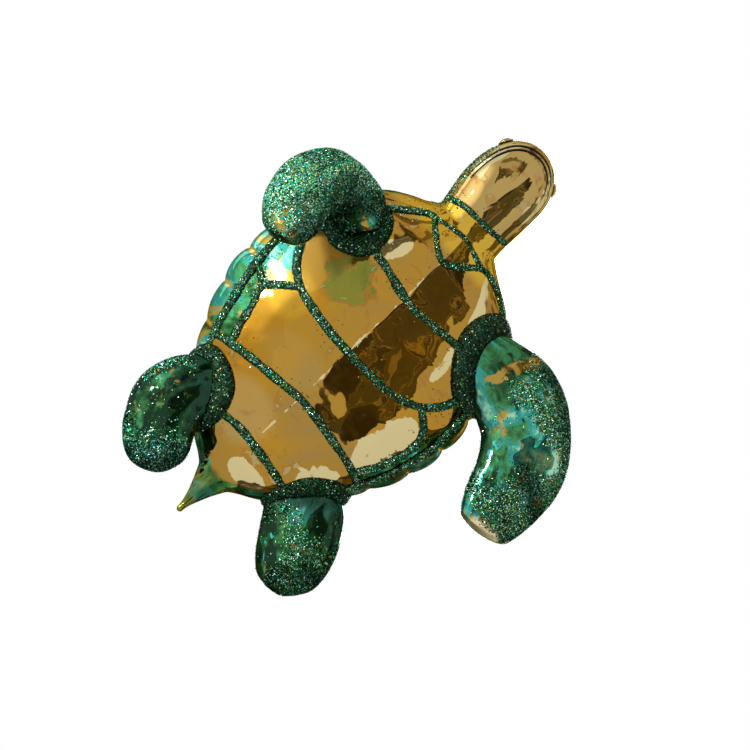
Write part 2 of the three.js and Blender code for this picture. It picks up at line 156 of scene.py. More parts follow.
def scuted(points, turn):
    """The marginal scutes: the rim swells and draws in by a root of a sine along it, less away from it."""
    u = points[..., 0]
    part = section(u)[4]
    swell = np.abs(np.sin(np.pi * (u - SHELL_AT) / SCUTE_PITCH)) ** SCUTE_POWER - SCUTE_MIDDLE
    share = np.cos(turn)
    points[..., 1] += SCUTE_BULGE * swell * smooth(2 * part - 1) * np.sign(share) * np.abs(share) ** RIM_POWER
    return points


def unit(vectors):
    """Vectors divided by their length."""
    return vectors / np.maximum(np.linalg.norm(vectors, axis=-1, keepdims=True), 1e-12)


def full_turn(count):
    """Equal angles round a full turn."""
    return np.arange(count) * 2 * np.pi / count


def ring_normals(rings):
    """Outward directions of a grid of rings: along the ring, crossed with along the rows."""
    round_ring = np.roll(rings, -1, 1) - np.roll(rings, 1, 1)
    return unit(np.cross(round_ring, np.gradient(rings, axis=0)))


def waves(points, seed, *sizes):
    """Sum of plane sine waves of random direction and phase, each of a given length and height in mm."""
    rng = np.random.default_rng(seed)
    total = np.zeros(points.shape[:-1])
    for length, height in sizes:
        way = unit(rng.normal(size=3))
        total += height * np.sin(2 * np.pi / length * (points @ way) + rng.uniform(0, 2 * np.pi))
    return total


spout_top = SPOUT_HEIGHT + section(np.array(SPOUT_AT))[1]
rim_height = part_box("glass_body")[1].z / MM - spout_top


def to_frame(points):
    """Forward, left and up in mm become the frame's metres: x is left, y is back, z is up."""
    forward, left, up = np.moveaxis(np.asarray(points, float), -1, 0)
    return np.stack([left, SPOUT_AT - forward, up + rim_height], -1) * MM


def four_sided(row, ahead, side, after, sides):
    """Corner numbers of the faces between rows and the rows ahead of them, sides and the sides after them."""
    low, high = row * sides, ahead * sides
    return np.stack([low + side, low + after, high + after, high + side], -1)


def flat_map(*corners):
    """Places on the flat map, from a pair of across and up for each corner of the faces."""
    return np.stack([np.stack(np.broadcast_arrays(*pair), -1) for pair in corners], -2)


def loft(rings, first_tip=None, last_tip=None):
    """Closed skin over a grid of rings: quads between neighbours and a fan of triangles to each tip.
    The flat map lays rings and sides out as rows and columns of a square."""
    rows, sides = rings.shape[:2]
    tips = [
        rings[0].mean(0) if first_tip is None else first_tip,
        rings[-1].mean(0) if last_tip is None else last_tip,
    ]
    row, side = np.meshgrid(np.arange(rows - 1), np.arange(sides), indexing="ij")
    quads = four_sided(row, row + 1, side, (side + 1) % sides, sides)
    low, high, left, right = (row + 1) / (rows + 1), (row + 2) / (rows + 1), side / sides, (side + 1) / sides
    quad_map = flat_map((left, low), (right, low), (right, high), (left, high))
    side, left, right = side[0], left[0], right[0]
    after, last = (side + 1) % sides, (rows - 1) * sides
    first_point = np.full(sides, rows * sides)
    fans = np.concatenate([
        np.stack([first_point, after, side], -1),
        np.stack([first_point + 1, last + side, last + after], -1),
    ])
    middle, foot, top = (left + right) / 2, 1 / (rows + 1), rows / (rows + 1)
    fan_map = np.concatenate([
        flat_map((middle, 0.0), (right, foot), (left, foot)),
        flat_map((middle, 1.0), (left, top), (right, top)),
    ])
    flat = np.concatenate([quad_map.reshape(-1, 2), fan_map.reshape(-1, 2)])
    return np.concatenate([rings.reshape(-1, 3), tips]), quads.reshape(-1, 4), fans, flat


def piece(name, skin, finish, rounded=True):
    """An object at the origin from points, four-sided and three-sided faces and their flat map."""
    points, quads, fans, flat = skin
    mesh = bpy.data.meshes.new(name)
    corners = np.concatenate([quads.ravel(), fans.ravel()])
    count = len(quads) + len(fans)
    starts = np.concatenate([np.arange(len(quads)) * 4, len(quads) * 4 + np.arange(len(fans)) * 3])
    mesh.vertices.add(len(points))
    mesh.vertices.foreach_set("co", to_frame(points).astype(np.float32).ravel())
    mesh.loops.add(len(corners))
    mesh.loops.foreach_set("vertex_index", corners.astype(np.int32))
    mesh.polygons.add(count)
    mesh.polygons.foreach_set("loop_start", starts.astype(np.int32))
    mesh.polygons.foreach_set("use_smooth", np.full(count, rounded))
    mesh.update(calc_edges=True)
    mesh.uv_layers.new(name="OFBake").data.foreach_set("uv", flat.astype(np.float32).ravel())
    mesh.materials.append(finish)
    made = bpy.data.objects.new(name, mesh)
    bpy.context.scene.collection.objects.link(made)
    return made


def mark(made, name, values, *tips, kind="FLOAT", key="value"):
    """Puts values on the points of a piece, for its material to read: its grid's, then its tips'."""
    values = np.append(values, tips).astype(np.float32)
    made.data.attributes.new(name, kind, "POINT").data.foreach_set(key, values)


def feed(tree, made, values):
    """Gives sockets of a node a link where the value is a socket, and otherwise the value itself."""
    for socket, value in values.items():
        if isinstance(value, bpy.types.NodeSocket):
            tree.links.new(value, made.inputs[socket])
        else:
            made.inputs[socket].default_value = value


def node(tree, kind, values=(), **settings):
    """A shader node with its settings, and its sockets fed."""
    made = tree.nodes.new("ShaderNode" + kind)
    for key, value in settings.items():
        setattr(made, key, value)
    feed(tree, made, dict(values))
    return made


def maths(tree, operation, *values):
    """One operation on values."""
    return node(tree, "Math", enumerate(values), operation=operation).outputs[0]


def moved_by(tree, operation, place, vector):
    """A place with a vector added to it or multiplied into it."""
    return node(tree, "VectorMath", {0: place, 1: vector}, operation=operation).outputs[0]


def own_place(tree):
    """The part's own coordinates."""
    return node(tree, "TexCoord").outputs["Object"]


def noise(tree, place, scale, detail, roughness=0.5, distortion=0.0):
    """A soft noise over a place."""
    return node(tree, "TexNoise", {
        "Vector": place, "Scale": scale, "Detail": detail, "Roughness": roughness, "Distortion": distortion,
    }).outputs["Fac"]


def ramp(tree, factor, *stops):
    """A colour ramp over a factor, from pairs of place and linear colour."""
    made = node(tree, "ValToRGB", {"Fac": factor})
    elements = made.color_ramp.elements
    while len(elements) < len(stops):
        elements.new(0.5)
    for element, (at, colour) in zip(elements, stops):
        element.position = at
        element.color = (*colour, 1)
    return made.outputs["Color"]


def mask(tree, factor, *stops):
    """A grey ramp over a factor, from pairs of place and level."""
    return ramp(tree, factor, *((at, (level, level, level)) for at, level in stops))


def blend(tree, factor, low, high):
    """A mix of two colours by a factor."""
    return node(tree, "Mix", {0: factor, 6: low, 7: high}, data_type="RGBA").outputs[2]


def sharpen(tree, value, low, high, least=0.0, most=1.0):
    """A value spread so that low gives the least and high gives the most, and held between them."""
    return node(tree, "MapRange", {
        "Value": value, "From Min": low, "From Max": high, "To Min": least, "To Max": most,
    }).outputs["Result"]


def attribute(tree, name, output="Fac"):
    """What mark() put on the piece."""
    return node(tree, "Attribute", attribute_name=name).outputs[output]


def torn(tree, name, grain):
    """What mark() put on the piece plus a noise spread over 0 to 1: cut at 1, it gets a ragged edge."""
    return maths(tree, "ADD", attribute(tree, name), sharpen(tree, grain, 0.34, 0.66))


def slant(tree):
    """How far the surface is seen from the side."""
    return node(tree, "LayerWeight", {"Blend": 0.5}).outputs["Facing"]


def dent(tree, height, distance, strength):
    """A normal from a height, for the ripple of blown glass or the grain of a bead."""
    made = node(tree, "Bump", {"Height": height, "Distance": distance, "Strength": strength})
    return made.outputs["Normal"]


def finish_of(name):
    """A new material with its tree and its principled shader."""
    made = bpy.data.materials.new(name)
    made.use_nodes = True
    return made, made.node_tree, made.node_tree.nodes["Principled BSDF"]


def lacquer_clouds():
    """Group of soft noises in the part's own coordinates: clouds, veins, patches and the glass's ripple."""
    group = bpy.data.node_groups.new("lacquer_clouds", "ShaderNodeTree")
    group.interface.new_socket("Shift", in_out="INPUT", socket_type="NodeSocketVector")
    group.interface.new_socket("Scale", in_out="INPUT", socket_type="NodeSocketFloat")
    for name in ("Cloud", "Vein", "Patch", "Ripple"):
        group.interface.new_socket(name, in_out="OUTPUT", socket_type="NodeSocketFloat")
    given = group.nodes.new("NodeGroupInput").outputs
    place = moved_by(group, "ADD", own_place(group), given["Shift"])
    apart = moved_by(group, "ADD", place, (0.37, 0.81, 0.53))
    finer = maths(group, "MULTIPLY", given["Scale"], 2.9)
    feed(group, group.nodes.new("NodeGroupOutput"), {
        "Cloud": noise(group, place, given["Scale"], 2.5, 0.5, 0.7),
        "Vein": noise(group, place, finer, 4.0, 0.55, 1.4),
        "Patch": noise(group, apart, given["Scale"], 3.0, 0.5, 1.6),
        "Ripple": noise(group, place, 210.0, 1.0, 0.4),
    })
    return group


clouds_group = lacquer_clouds()


def clouds(tree, shift, scale):
    """The lacquer's noises placed in a material with its own shift and scale."""
    return node(tree, "Group", {"Shift": shift, "Scale": scale}, node_tree=clouds_group).outputs


GREENS = [
    (0.40, (0.004, 0.020, 0.006)), (0.46, (0.014, 0.075, 0.020)), (0.52, (0.040, 0.180, 0.052)),
    (0.56, (0.040, 0.270, 0.120)), (0.595, (0.022, 0.255, 0.240)), (0.635, (0.075, 0.390, 0.280)),
    (0.69, (0.320, 0.600, 0.400)),
]
OCHRE = (0.42, 0.27, 0.030, 1)
GREEN_DEEPENED_AND_SHADED_AT_A_SLANT = (0.002, 0.016, 0.006, 1)


def green_lacquer(tree, noises, lift=0.0, ochre_from=0.57):
    """Near-black green to teal and mint by clouds and veins mixed, with ochre in broad patches. Lacquer over
    silver looks deeper at a slant, where the light passes through more of it; the near-black there is
    also painted shade at the edges."""
    tone = node(tree, "Mix", {0: 0.4, 2: noises["Cloud"], 3: noises["Vein"]}).outputs[0]
    green = ramp(tree, maths(tree, "ADD", tone, lift), *GREENS)
    green = blend(tree, sharpen(tree, noises["Patch"], ochre_from, ochre_from + 0.09), green, OCHRE)
    return blend(tree, sharpen(tree, slant(tree), 0.30, 1.05), green, GREEN_DEEPENED_AND_SHADED_AT_A_SLANT)


GOLDS = [
    (0.28, (0.43, 0.200, 0.008)), (0.42, (0.39, 0.205, 0.018)), (0.55, (0.35, 0.195, 0.026)),
    (0.68, (0.31, 0.185, 0.042)),
]
BEIGE = (0.41, 0.285, 0.095, 1)
BROWN_VEIN = (0.24, 0.130, 0.018, 1)
RUST_LINE = (0.33, 0.135, 0.035, 1)
FLIPPER_REFLECTION_RIM = (0.30, 0.130, 0.022, 1)
FLIPPER_REFLECTION_GREENS = [(0.42, (0.10, 0.125, 0.020)), (0.55, (0.20, 0.190, 0.026))]
AMBER = (0.58, 0.36, 0.030, 1)
CREAM = (0.57, 0.475, 0.235, 1)
GOLD_SHADED_AT_A_SLANT = (0.15, 0.085, 0.010, 1)
TAIL_GREENS = [
    (0.42, (0.010, 0.045, 0.010)), (0.50, (0.030, 0.120, 0.028)), (0.55, (0.09, 0.125, 0.018)),
    (0.66, (0.30, 0.30, 0.040)),
]
TAIL_OLIVE = (0.17, 0.175, 0.016, 1)
bubble_finish, tree, shader = finish_of("gold and green lacquer on silvered glass")
noises = clouds(tree, (0.31, 0.12, 0.07), 46.0)
gold = ramp(tree, noises["Cloud"], *GOLDS)
gold = blend(tree, attribute(tree, "beige"), gold, BEIGE)
gold = blend(tree, sharpen(tree, noises["Vein"], 0.64, 0.70), gold, BROWN_VEIN)
line = mask(tree, noises["Patch"], (0.486, 0), (0.496, 0.55), (0.504, 0.55), (0.514, 0))
gold = blend(tree, maths(tree, "MULTIPLY", line, sharpen(tree, noises["Vein"], 0.50, 0.58)), gold, RUST_LINE)
# Painted reflection of the front right flipper in the gold: an olive patch with a brown rim.
flipper_reflection = torn(tree, "painted_flipper_reflection", noises["Vein"])
reflection_rim = mask(tree, flipper_reflection, (0.74, 0), (0.80, 0.8), (1.0, 0.8), (1.0, 0))
near = sharpen(tree, attribute(tree, "painted_flipper_reflection"), 0.0, 0.4, 0.45, 1.0)
gold = blend(tree, maths(tree, "MULTIPLY", reflection_rim, near), gold, FLIPPER_REFLECTION_RIM)
gold = blend(tree, sharpen(tree, flipper_reflection, 0.97, 1.05), gold, ramp(tree, noises["Patch"], *FLIPPER_REFLECTION_GREENS))
gold = blend(tree, attribute(tree, "amber"), gold, AMBER)
# Cream holds the painted reflections of bright light, with the pale cheeks and the crease line.
gold = blend(tree, sharpen(tree, torn(tree, "cream", noises["Vein"]), 0.97, 1.04), gold, CREAM)
# Painted shade: the gold darkens toward its edges, where it is seen from the side.
gold = blend(tree, sharpen(tree, slant(tree), 0.62, 1.0), gold, GOLD_SHADED_AT_A_SLANT)
flank = green_lacquer(tree, clouds(tree, (0.15, 0.47, 0.20), 95.0), attribute(tree, "lift"), 0.59)
tail = attribute(tree, "tail")
drawn = noise(tree, moved_by(tree, "MULTIPLY", own_place(tree), (300, 45, 300)), 1.0, 3.0)
streaked = blend(tree, sharpen(tree, tail, 0.76, 1.0), ramp(tree, drawn, *TAIL_GREENS), TAIL_OLIVE)
flank = blend(tree, tail, flank, streaked)
matt = attribute(tree, "matt")
ridged = node(tree, "Bump", {
    "Height": maths(tree, "MULTIPLY", drawn, tail), "Distance": 0.004, "Strength": 0.7,
    "Normal": dent(tree, noises["Ripple"], 0.0004, 0.25),
})
feed(tree, shader, {
    "Base Color": blend(tree, attribute(tree, "green"), gold, flank),
    "Roughness": maths(tree, "MULTIPLY_ADD", matt, 0.45, sharpen(tree, tail, 0.0, 1.0, 0.035, 0.2)),
    "Metallic": sharpen(tree, matt, 0.0, 1.0, 1.0, 0.3),
    "Normal": ridged.outputs["Normal"],
    "Specular Tint": (0.55, 0.42, 0.20, 1), "Coat Weight": 0.1, "Coat Roughness": 0.02,
})

BUBBLE_TURNS = 300
TAIL_ROWS = 24
TRUNK_ROWS = 225
SNOUT_ROWS = 48
TAIL_END = 3.0
TAIL_CALM = 8.0
SPOUT_DIP = 9.0
BUBBLE_SEED = 11
BUBBLE_WAVES = [(26, 0.16), (19, 0.10), (15, 0.08), (12, 0.05), (9, 0.028), (7.5, 0.018), (6, 0.012)]
tail_rows = TAIL_TIP + TAIL_END * np.linspace(0.02, 1, TAIL_ROWS) ** 2
trunk_rows = np.linspace(TAIL_TIP + TAIL_END + 0.4, HEAD_AT, TRUNK_ROWS)
snout_rows = HEAD_AT + HEAD_LENGTH * np.sin(np.pi / 2 * np.linspace(0.02, 0.995, SNOUT_ROWS))
stations = np.concatenate([tail_rows, trunk_rows, snout_rows])[:, None]
turns = full_turn(BUBBLE_TURNS)[None]
bubble_rings = scuted(bubble_point(stations, turns), turns)
uneven = waves(bubble_rings, BUBBLE_SEED, *BUBBLE_WAVES) * smooth((stations - TAIL_TIP) / TAIL_CALM)
bubble_rings = bubble_rings + ring_normals(bubble_rings) * uneven[..., None]
off_spout = np.hypot(bubble_rings[..., 0] - SPOUT_AT, bubble_rings[..., 1])
under_spout = SPOUT_DIP * smooth((SPOUT_BORE + 0.4 - off_spout) / 0.8)
bubble_rings[..., 2] -= np.where(bubble_rings[..., 2] > 0, under_spout, 0)
glass_bubble = piece(
    "glass_bubble",
    loft(bubble_rings, np.array([TAIL_TIP, 0, 0]), np.array([SNOUT_AT, -HEAD_ASIDE, 0])),
    bubble_finish,
)

# Where the gold stops on the belly, as shares across at shares along, on the left and on the right.
GOLD_STOPS = [-1.0, -0.9, -0.74, -0.46, -0.43, -0.32, -0.21, -0.07, 0.01, 0.085, 0.18, 0.30, 0.36, 1.0]
GOLD_LEFT = [0.1, 0.62, 0.93, 0.93, 0.78, 0.80, 0.82, 0.82, 0.90, 0.90, 0.91, 0.92, 0.96, 0.96]
GOLD_RIGHT = [0.1, 0.62, 0.90, 0.90, 0.70, 0.71, 0.71, 0.78, 0.79, 0.66, 0.71, 0.82, 0.96, 0.96]
along = (stations - SHELL_AT) / np.where(stations > SHELL_AT, SHELL_FRONT, SHELL_REAR)
across, up = np.cos(turns), np.sin(turns)
outward = np.abs(across)
belly_side = up < 0


def blobs(*rows):
    """Soft ovals on the belly, each a fall from 1 to 0 with the squared distance in its half sizes.
    A row gives the middle along and across, and the half sizes along and across."""
    falls = [smooth(1.5 - ((along - at) / long) ** 2 - ((across - aside) / wide) ** 2)
             for at, aside, long, wide in rows]
    return np.max(falls, axis=0) * belly_side


gold_stop = np.where(
    across > 0, np.interp(along, GOLD_STOPS, GOLD_LEFT), np.interp(along, GOLD_STOPS, GOLD_RIGHT))
notch = np.abs(np.sin(np.pi * (stations - SHELL_AT) / SCUTE_PITCH))
amber_notch = smooth((0.30 - notch) / 0.2) * smooth((outward - 0.9) / 0.05)
crown = smooth((up + 0.12 - 0.25 * across) / 0.25)
green = np.where(belly_side, np.where(along > 1.0, crown, smooth((outward - gold_stop) / 0.05 + 0.5)), 1.0)
green = np.where((along > 0.9) & ~belly_side, np.maximum(crown, smooth((1.0 - along) / 0.1)), green)
green = np.maximum(green, smooth((-0.93 - along) / 0.06)) * (1 - 0.85 * amber_notch)
headward = (along - 1.073 - 0.032 * across) / 0.02
throat = smooth((along - 0.78) / 0.08) * smooth(0.5 - headward)
amber = np.maximum(0.75 * throat, 0.45 * blobs((0.0, -0.56, 0.13, 0.16)))
# Painted reflections: pale blobs on the gold where bright light would be mirrored.
pale = blobs(
    (-0.2, 0.69, 0.2, 0.165), (-0.58, 0.7, 0.1, 0.16), (-0.85, 0.30, 0.06, 0.36), (0.35, 0.56, 0.12, 0.05),
    (0.68, 0.6, 0.2, 0.06), (0.62, -0.36, 0.09, 0.1), (-0.02, -0.74, 0.07, 0.07),
)
cheeks = 1.2 * smooth((outward - 0.62) / 0.1) * smooth((along - 1.22) / 0.1) * (up < 0.1)
crease = 0.62 * (outward < 0.001) * belly_side * (along < 0.75) * (along > -0.62)
grey = np.maximum(0.55 * blobs((-0.62, -0.3, 0.16, 0.34)), 0.22 * blobs((-0.24, -0.22, 0.12, 0.26)))
RIM_LIFT = 0.045
bubble_marks = {
    "green": (green, 1, 0),
    "cream": (np.maximum(np.maximum(pale, cheeks), crease), 0, 0),
    "tail": (0.75 * smooth((-0.90 - along) / 0.12) + 0.25 * smooth((-1.10 - along) / 0.1), 1, 0),
    # Painted light: the green of the rim is lighter along the turtle's right side, toward the lamps.
    "lift": (RIM_LIFT + 0.05 * smooth((-across - 0.75) / 0.15) * (up < 0.4), RIM_LIFT, RIM_LIFT),
    # Painted reflection of the front right flipper on the gold.
    "painted_flipper_reflection": (0.72 * blobs((0.30, -0.36, 0.15, 0.2)), 0, 0),
    "amber": (np.maximum(amber_notch, amber), 0, 0),
    "matt": (blobs((0.21, -0.61, 0.20, 0.18)), 0, 0),
    "beige": (np.maximum(0.8 * smooth(0.5 + headward), grey), 0, 1),
}
for name, (values, at_tail, at_snout) in bubble_marks.items():
    mark(glass_bubble, name, np.broadcast_to(values, bubble_rings.shape[:2]), at_tail, at_snout)
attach(glass_bubble, "glass")
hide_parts("glass_body")

# Spout: the open glass neck by which the bubble was blown, left standing on the back.
# It is the same silvered glass with a fire-polished lip, and the cap sits over it.
SPOUT_RADIUS = 5.0
SPOUT_SUNK = 1.4
SPOUT_SIDES = 96
SPOUT_FLARE = [(0.9, 0.0), (0.35, 1.7), (0.0, 2.8)]
spout_foot = spout_top - SPOUT_HEIGHT - SPOUT_SUNK


def turned(profile, sides):
    """Rings about the spout's axis: a closed profile of radius and height at equal turns."""
    radius, height = np.asarray(profile, float).T
    turn = full_turn(sides)[:, None]
    return np.stack([SPOUT_AT - radius * np.cos(turn), radius * np.sin(turn), height + 0 * turn], -1)


def hoop(rings):
    """Closed skin over rings that follow one another round to the first: quads between all neighbours, turned
    round where the volume inside them comes out negative."""
    rows, sides = rings.shape[:2]
    row, side = np.meshgrid(np.arange(rows), np.arange(sides), indexing="ij")
    quads = four_sided(row, (row + 1) % rows, side, (side + 1) % sides, sides).reshape(-1, 4)
    low, high, left, right = row / rows, (row + 1) / rows, side / sides, (side + 1) / sides
    flat = flat_map((left, low), (right, low), (right, high), (left, high)).reshape(-1, 4, 2)
    points = rings.reshape(-1, 3)
    a, b, c, d = np.moveaxis(points[quads], 1, 0)
    if np.sum(np.cross(a, b) * c) + np.sum(np.cross(a, c) * d) < 0:
        quads, flat = quads[:, ::-1], flat[:, ::-1]
    return points, quads, np.zeros((0, 3), int), flat.reshape(-1, 2)


lip = np.linspace(0, np.pi, 9)
wall_middle, wall_half = (SPOUT_RADIUS + SPOUT_BORE) / 2, (SPOUT_RADIUS - SPOUT_BORE) / 2
spout_profile = np.concatenate([
    [[SPOUT_BORE, spout_foot]],
    [[SPOUT_RADIUS + flare, spout_foot + rise] for flare, rise in SPOUT_FLARE],
    np.stack([wall_middle + wall_half * np.cos(lip), spout_top - wall_half + wall_half * np.sin(lip)], -1),
])
spout_finish, tree, shader = finish_of("green lacquer on the spout")
noises = clouds(tree, (0.2, 0.1, 0.4), 90.0)
feed(tree, shader, {
    "Base Color": green_lacquer(tree, noises),
    "Normal": dent(tree, noises["Ripple"], 0.0003, 0.2),
    "Roughness": sharpen(tree, noises["Vein"], -1.0, 6.0),
    "Metallic": 0.9, "Coat Weight": 1.0,
})
spout = piece("glass_spout", hoop(turned(spout_profile, SPOUT_SIDES)), spout_finish)
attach(spout, "glass")

# Flippers: four socks of blown glass, bent while hot and bonded to the rim with their open roots.
# They are silvered and lacquered in cloudy greens with amber patches; the longest ends in a blunt gold tip.
# Lengths are shares of the shell's half width, turns and dips are degrees at the root and at the tip.
FLIPPERS = {
    "front_left": dict(side=1, root=0.524, sink=0.33, drop=0.075, length=1.61, chord=0.65, thickness=0.31,
                       turn=(-4, 80), bent=(0.1, 0.75), dip=(1, 16), taper=2.2, tip=0.42, rounded=0.965),
    "front_right": dict(side=-1, root=0.555, sink=0.265, drop=0.16, length=1.22, chord=0.49, thickness=0.39,
                        turn=(-40, 115), bent=(-0.07, 0.85), dip=(28, 55), taper=2.4, tip=0.34, rounded=0.86),
    "rear_left": dict(side=1, root=-0.567, sink=0.3, drop=0.01, length=0.94, chord=0.583, thickness=0.3,
                      turn=(54, 62), bent=(0.1, 0.75), dip=(2, 6), taper=2.2, tip=0.3, rounded=0.86),
    "rear_right": dict(side=-1, root=-0.578, sink=0.33, drop=0.075, length=0.97, chord=0.54, thickness=0.31,
                       turn=(50, 142), bent=(0.1, 0.75), dip=(8, 14), taper=2.2, tip=0.4, rounded=0.86),
}
# Lacquer: how light it is, where ochre starts in the noise, metres of gold at the tip, painted shade at the
# root, and the place and strength of the amber band.
FLIPPER_LACQUERS = {
    "front_left": dict(lift=0.07, ochre_from=0.57, gold_tip=0.0052, root_shade=0.25, band=(0.21, 0.9)),
    "front_right": dict(lift=0.05, ochre_from=0.57, gold_tip=0.0001, root_shade=0.15, band=(0.55, 0.7)),
    "rear_left": dict(lift=0.0, ochre_from=0.63, gold_tip=0.0001, root_shade=0.92, band=(0.62, 0.4)),
    "rear_right": dict(lift=-0.04, ochre_from=0.63, gold_tip=0.0001, root_shade=0.9, band=(0.34, 0.4)),
}
# Glitter: how it grows along and across the flipper, the share that stays bare, and how softly it fades.
DRIFTS = {
    "front_left": dict(along=1.2, across=0.55, start=-0.75, bare=0.2, soft=0.6),
    "front_right": dict(along=0.6, across=0.0, start=0.25, bare=-0.1, soft=0.6),
    "rear_left": dict(along=1.3, across=0.4, start=-0.6, bare=0.2, soft=0.6),
    "rear_right": dict(along=1.0, across=0.5, start=-0.28, bare=0.2, soft=1.1),
}
FLIPPER_SIDES = 96
FLIPPER_ROWS = 190
LUMP_SEED = 40
FLIPPER_LUMPS = [(24, 0.35), (17, 0.25), (12, 0.16), (8, 0.09), (6, 0.05), (4.6, 0.03)]
DRIFT_SEED = 90
DRIFT_WAVES = [(26, 0.3), (18, 0.26), (11, 0.2), (7, 0.12), (4, 0.08)]
DARK_STREAK = (0.005, 0.030, 0.012, 1)
LIGHT_STREAK = (0.04, 0.34, 0.30, 1)
AMBER_BAND = (0.46, 0.28, 0.045, 1)
PAINTED_SHADE_GREEN = (0.005, 0.034, 0.019, 1)
TIP_GOLD = (0.66, 0.56, 0.33, 1)


def station_at(share):
    """The station of a share along the shell, -1 at the stern and 1 at the nose, and on along the neck."""
    share = np.asarray(share, float)
    shell = SHELL_AT + share * np.where(share > 0, SHELL_FRONT, SHELL_REAR)
    return np.where(share > 1, SHELL_NOSE + (share - 1) * NECK_LENGTH, shell)


def columns_at(at, known, columns):
    """Three columns read off at places between the known ones."""
    return np.stack([np.interp(at, known, columns[:, axis]) for axis in range(3)], -1)


def flipper_rings(shares, side, root, sink, drop, length, chord, thickness, turn, bent, dip, taper, tip,
                  rounded):
    """Oval rings along a middle line that turns toward the tail and dips: chord and thickness swell from the
    root, stay full and draw in to the tip, whose last part is rounded off as the quarter of an oval."""
    station = station_at(root)
    start = [station, side * (section(station)[0] - sink * SHELL_HALF_WIDTH), -drop * SHELL_HALF_WIDTH]
    fine = np.linspace(-0.3, 1, 1301)
    at_root = 300
    bend = np.radians(turn[0] + (turn[1] - turn[0]) * smooth((fine - bent[0]) / bent[1]))
    fall = np.radians(dip[0] + (dip[1] - dip[0]) * fine)
    heading = np.stack([-np.sin(bend) * np.cos(fall), side * np.cos(bend) * np.cos(fall), -np.sin(fall)], -1)
    path = np.cumsum(heading, 0) * (length * SHELL_HALF_WIDTH * (fine[1] - fine[0]))
    middle = columns_at(shares, fine, path - path[at_root] + start)
    ahead = unit(columns_at(shares, fine, heading))
    lead = unit(np.cross(ahead, [0, 0, 1]) * side)
    belly = np.cross(ahead, lead)
    swell = smooth(shares / 0.4)
    drawn = (1 - np.clip(shares * 2 - 1, 0, 1) ** taper) ** 0.6
    end = np.clip((shares - rounded) / (1 - rounded), 0, 1)
    full = (tip + (1 - tip) * drawn) * np.sqrt(np.clip(1 - end**2.4, 0, 1))
    half_chord = chord / 2 * SHELL_HALF_WIDTH * (0.74 + 0.26 * swell) * full
    half_thick = thickness / 2 * SHELL_HALF_WIDTH * (0.65 + 0.35 * swell) * full
    angle = full_turn(FLIPPER_SIDES)
    across_ring = lead[:, None] * (half_chord[:, None] * np.cos(angle))[..., None]
    through_ring = belly[:, None] * (half_thick[:, None] * np.sin(angle))[..., None]
    return middle[:, None] + across_ring + through_ring


def flipper_finish(name, shift, lift, ochre_from, tip_at, gold_tip):
    """Green lacquer run in streaks down the flipper and clouded, rough where glitter is strewn and darkened
    there and at the root with painted shade, and pale gold within a distance of the blunt tip."""
    made, tree, shader = finish_of(name)
    noises = clouds(tree, shift, 85.0)
    streak = noise(tree, attribute(tree, "flow", "Vector"), 2.6, 4.0, distortion=0.9)
    strewn = attribute(tree, "strewn")
    # Painted shade: dark under the strewn glitter, between its flakes, and at the root.
    painted_shade = maths(tree, "MAXIMUM", maths(tree, "MULTIPLY", strewn, 0.6), attribute(tree, "root"))
    away = node(tree, "VectorMath", {0: own_place(tree), 1: tip_at}, operation="DISTANCE").outputs["Value"]
    colour = green_lacquer(tree, noises, lift, ochre_from)
    for share, tone in (
        (sharpen(tree, streak, 0.50 - lift, 0.40 - lift), DARK_STREAK),
        (sharpen(tree, streak, 0.63 - lift, 0.69 - lift), LIGHT_STREAK),
        (sharpen(tree, torn(tree, "amber", noises["Vein"]), 0.95, 1.12), AMBER_BAND),
        (painted_shade, PAINTED_SHADE_GREEN),
        (sharpen(tree, away, gold_tip, gold_tip * 0.8), TIP_GOLD),
    ):
        colour = blend(tree, share, colour, tone)
    feed(tree, shader, {
        "Base Color": colour,
        "Roughness": sharpen(tree, strewn, 0.0, 1.0, 0.06, 0.34),
        "Normal": dent(tree, noises["Ripple"], 0.0014, 0.5),
        "Metallic": 0.9, "Specular Tint": (0.20, 0.45, 0.36, 1), "Coat Weight": 0.2, "Coat Roughness": 0.03,
    })
    return made


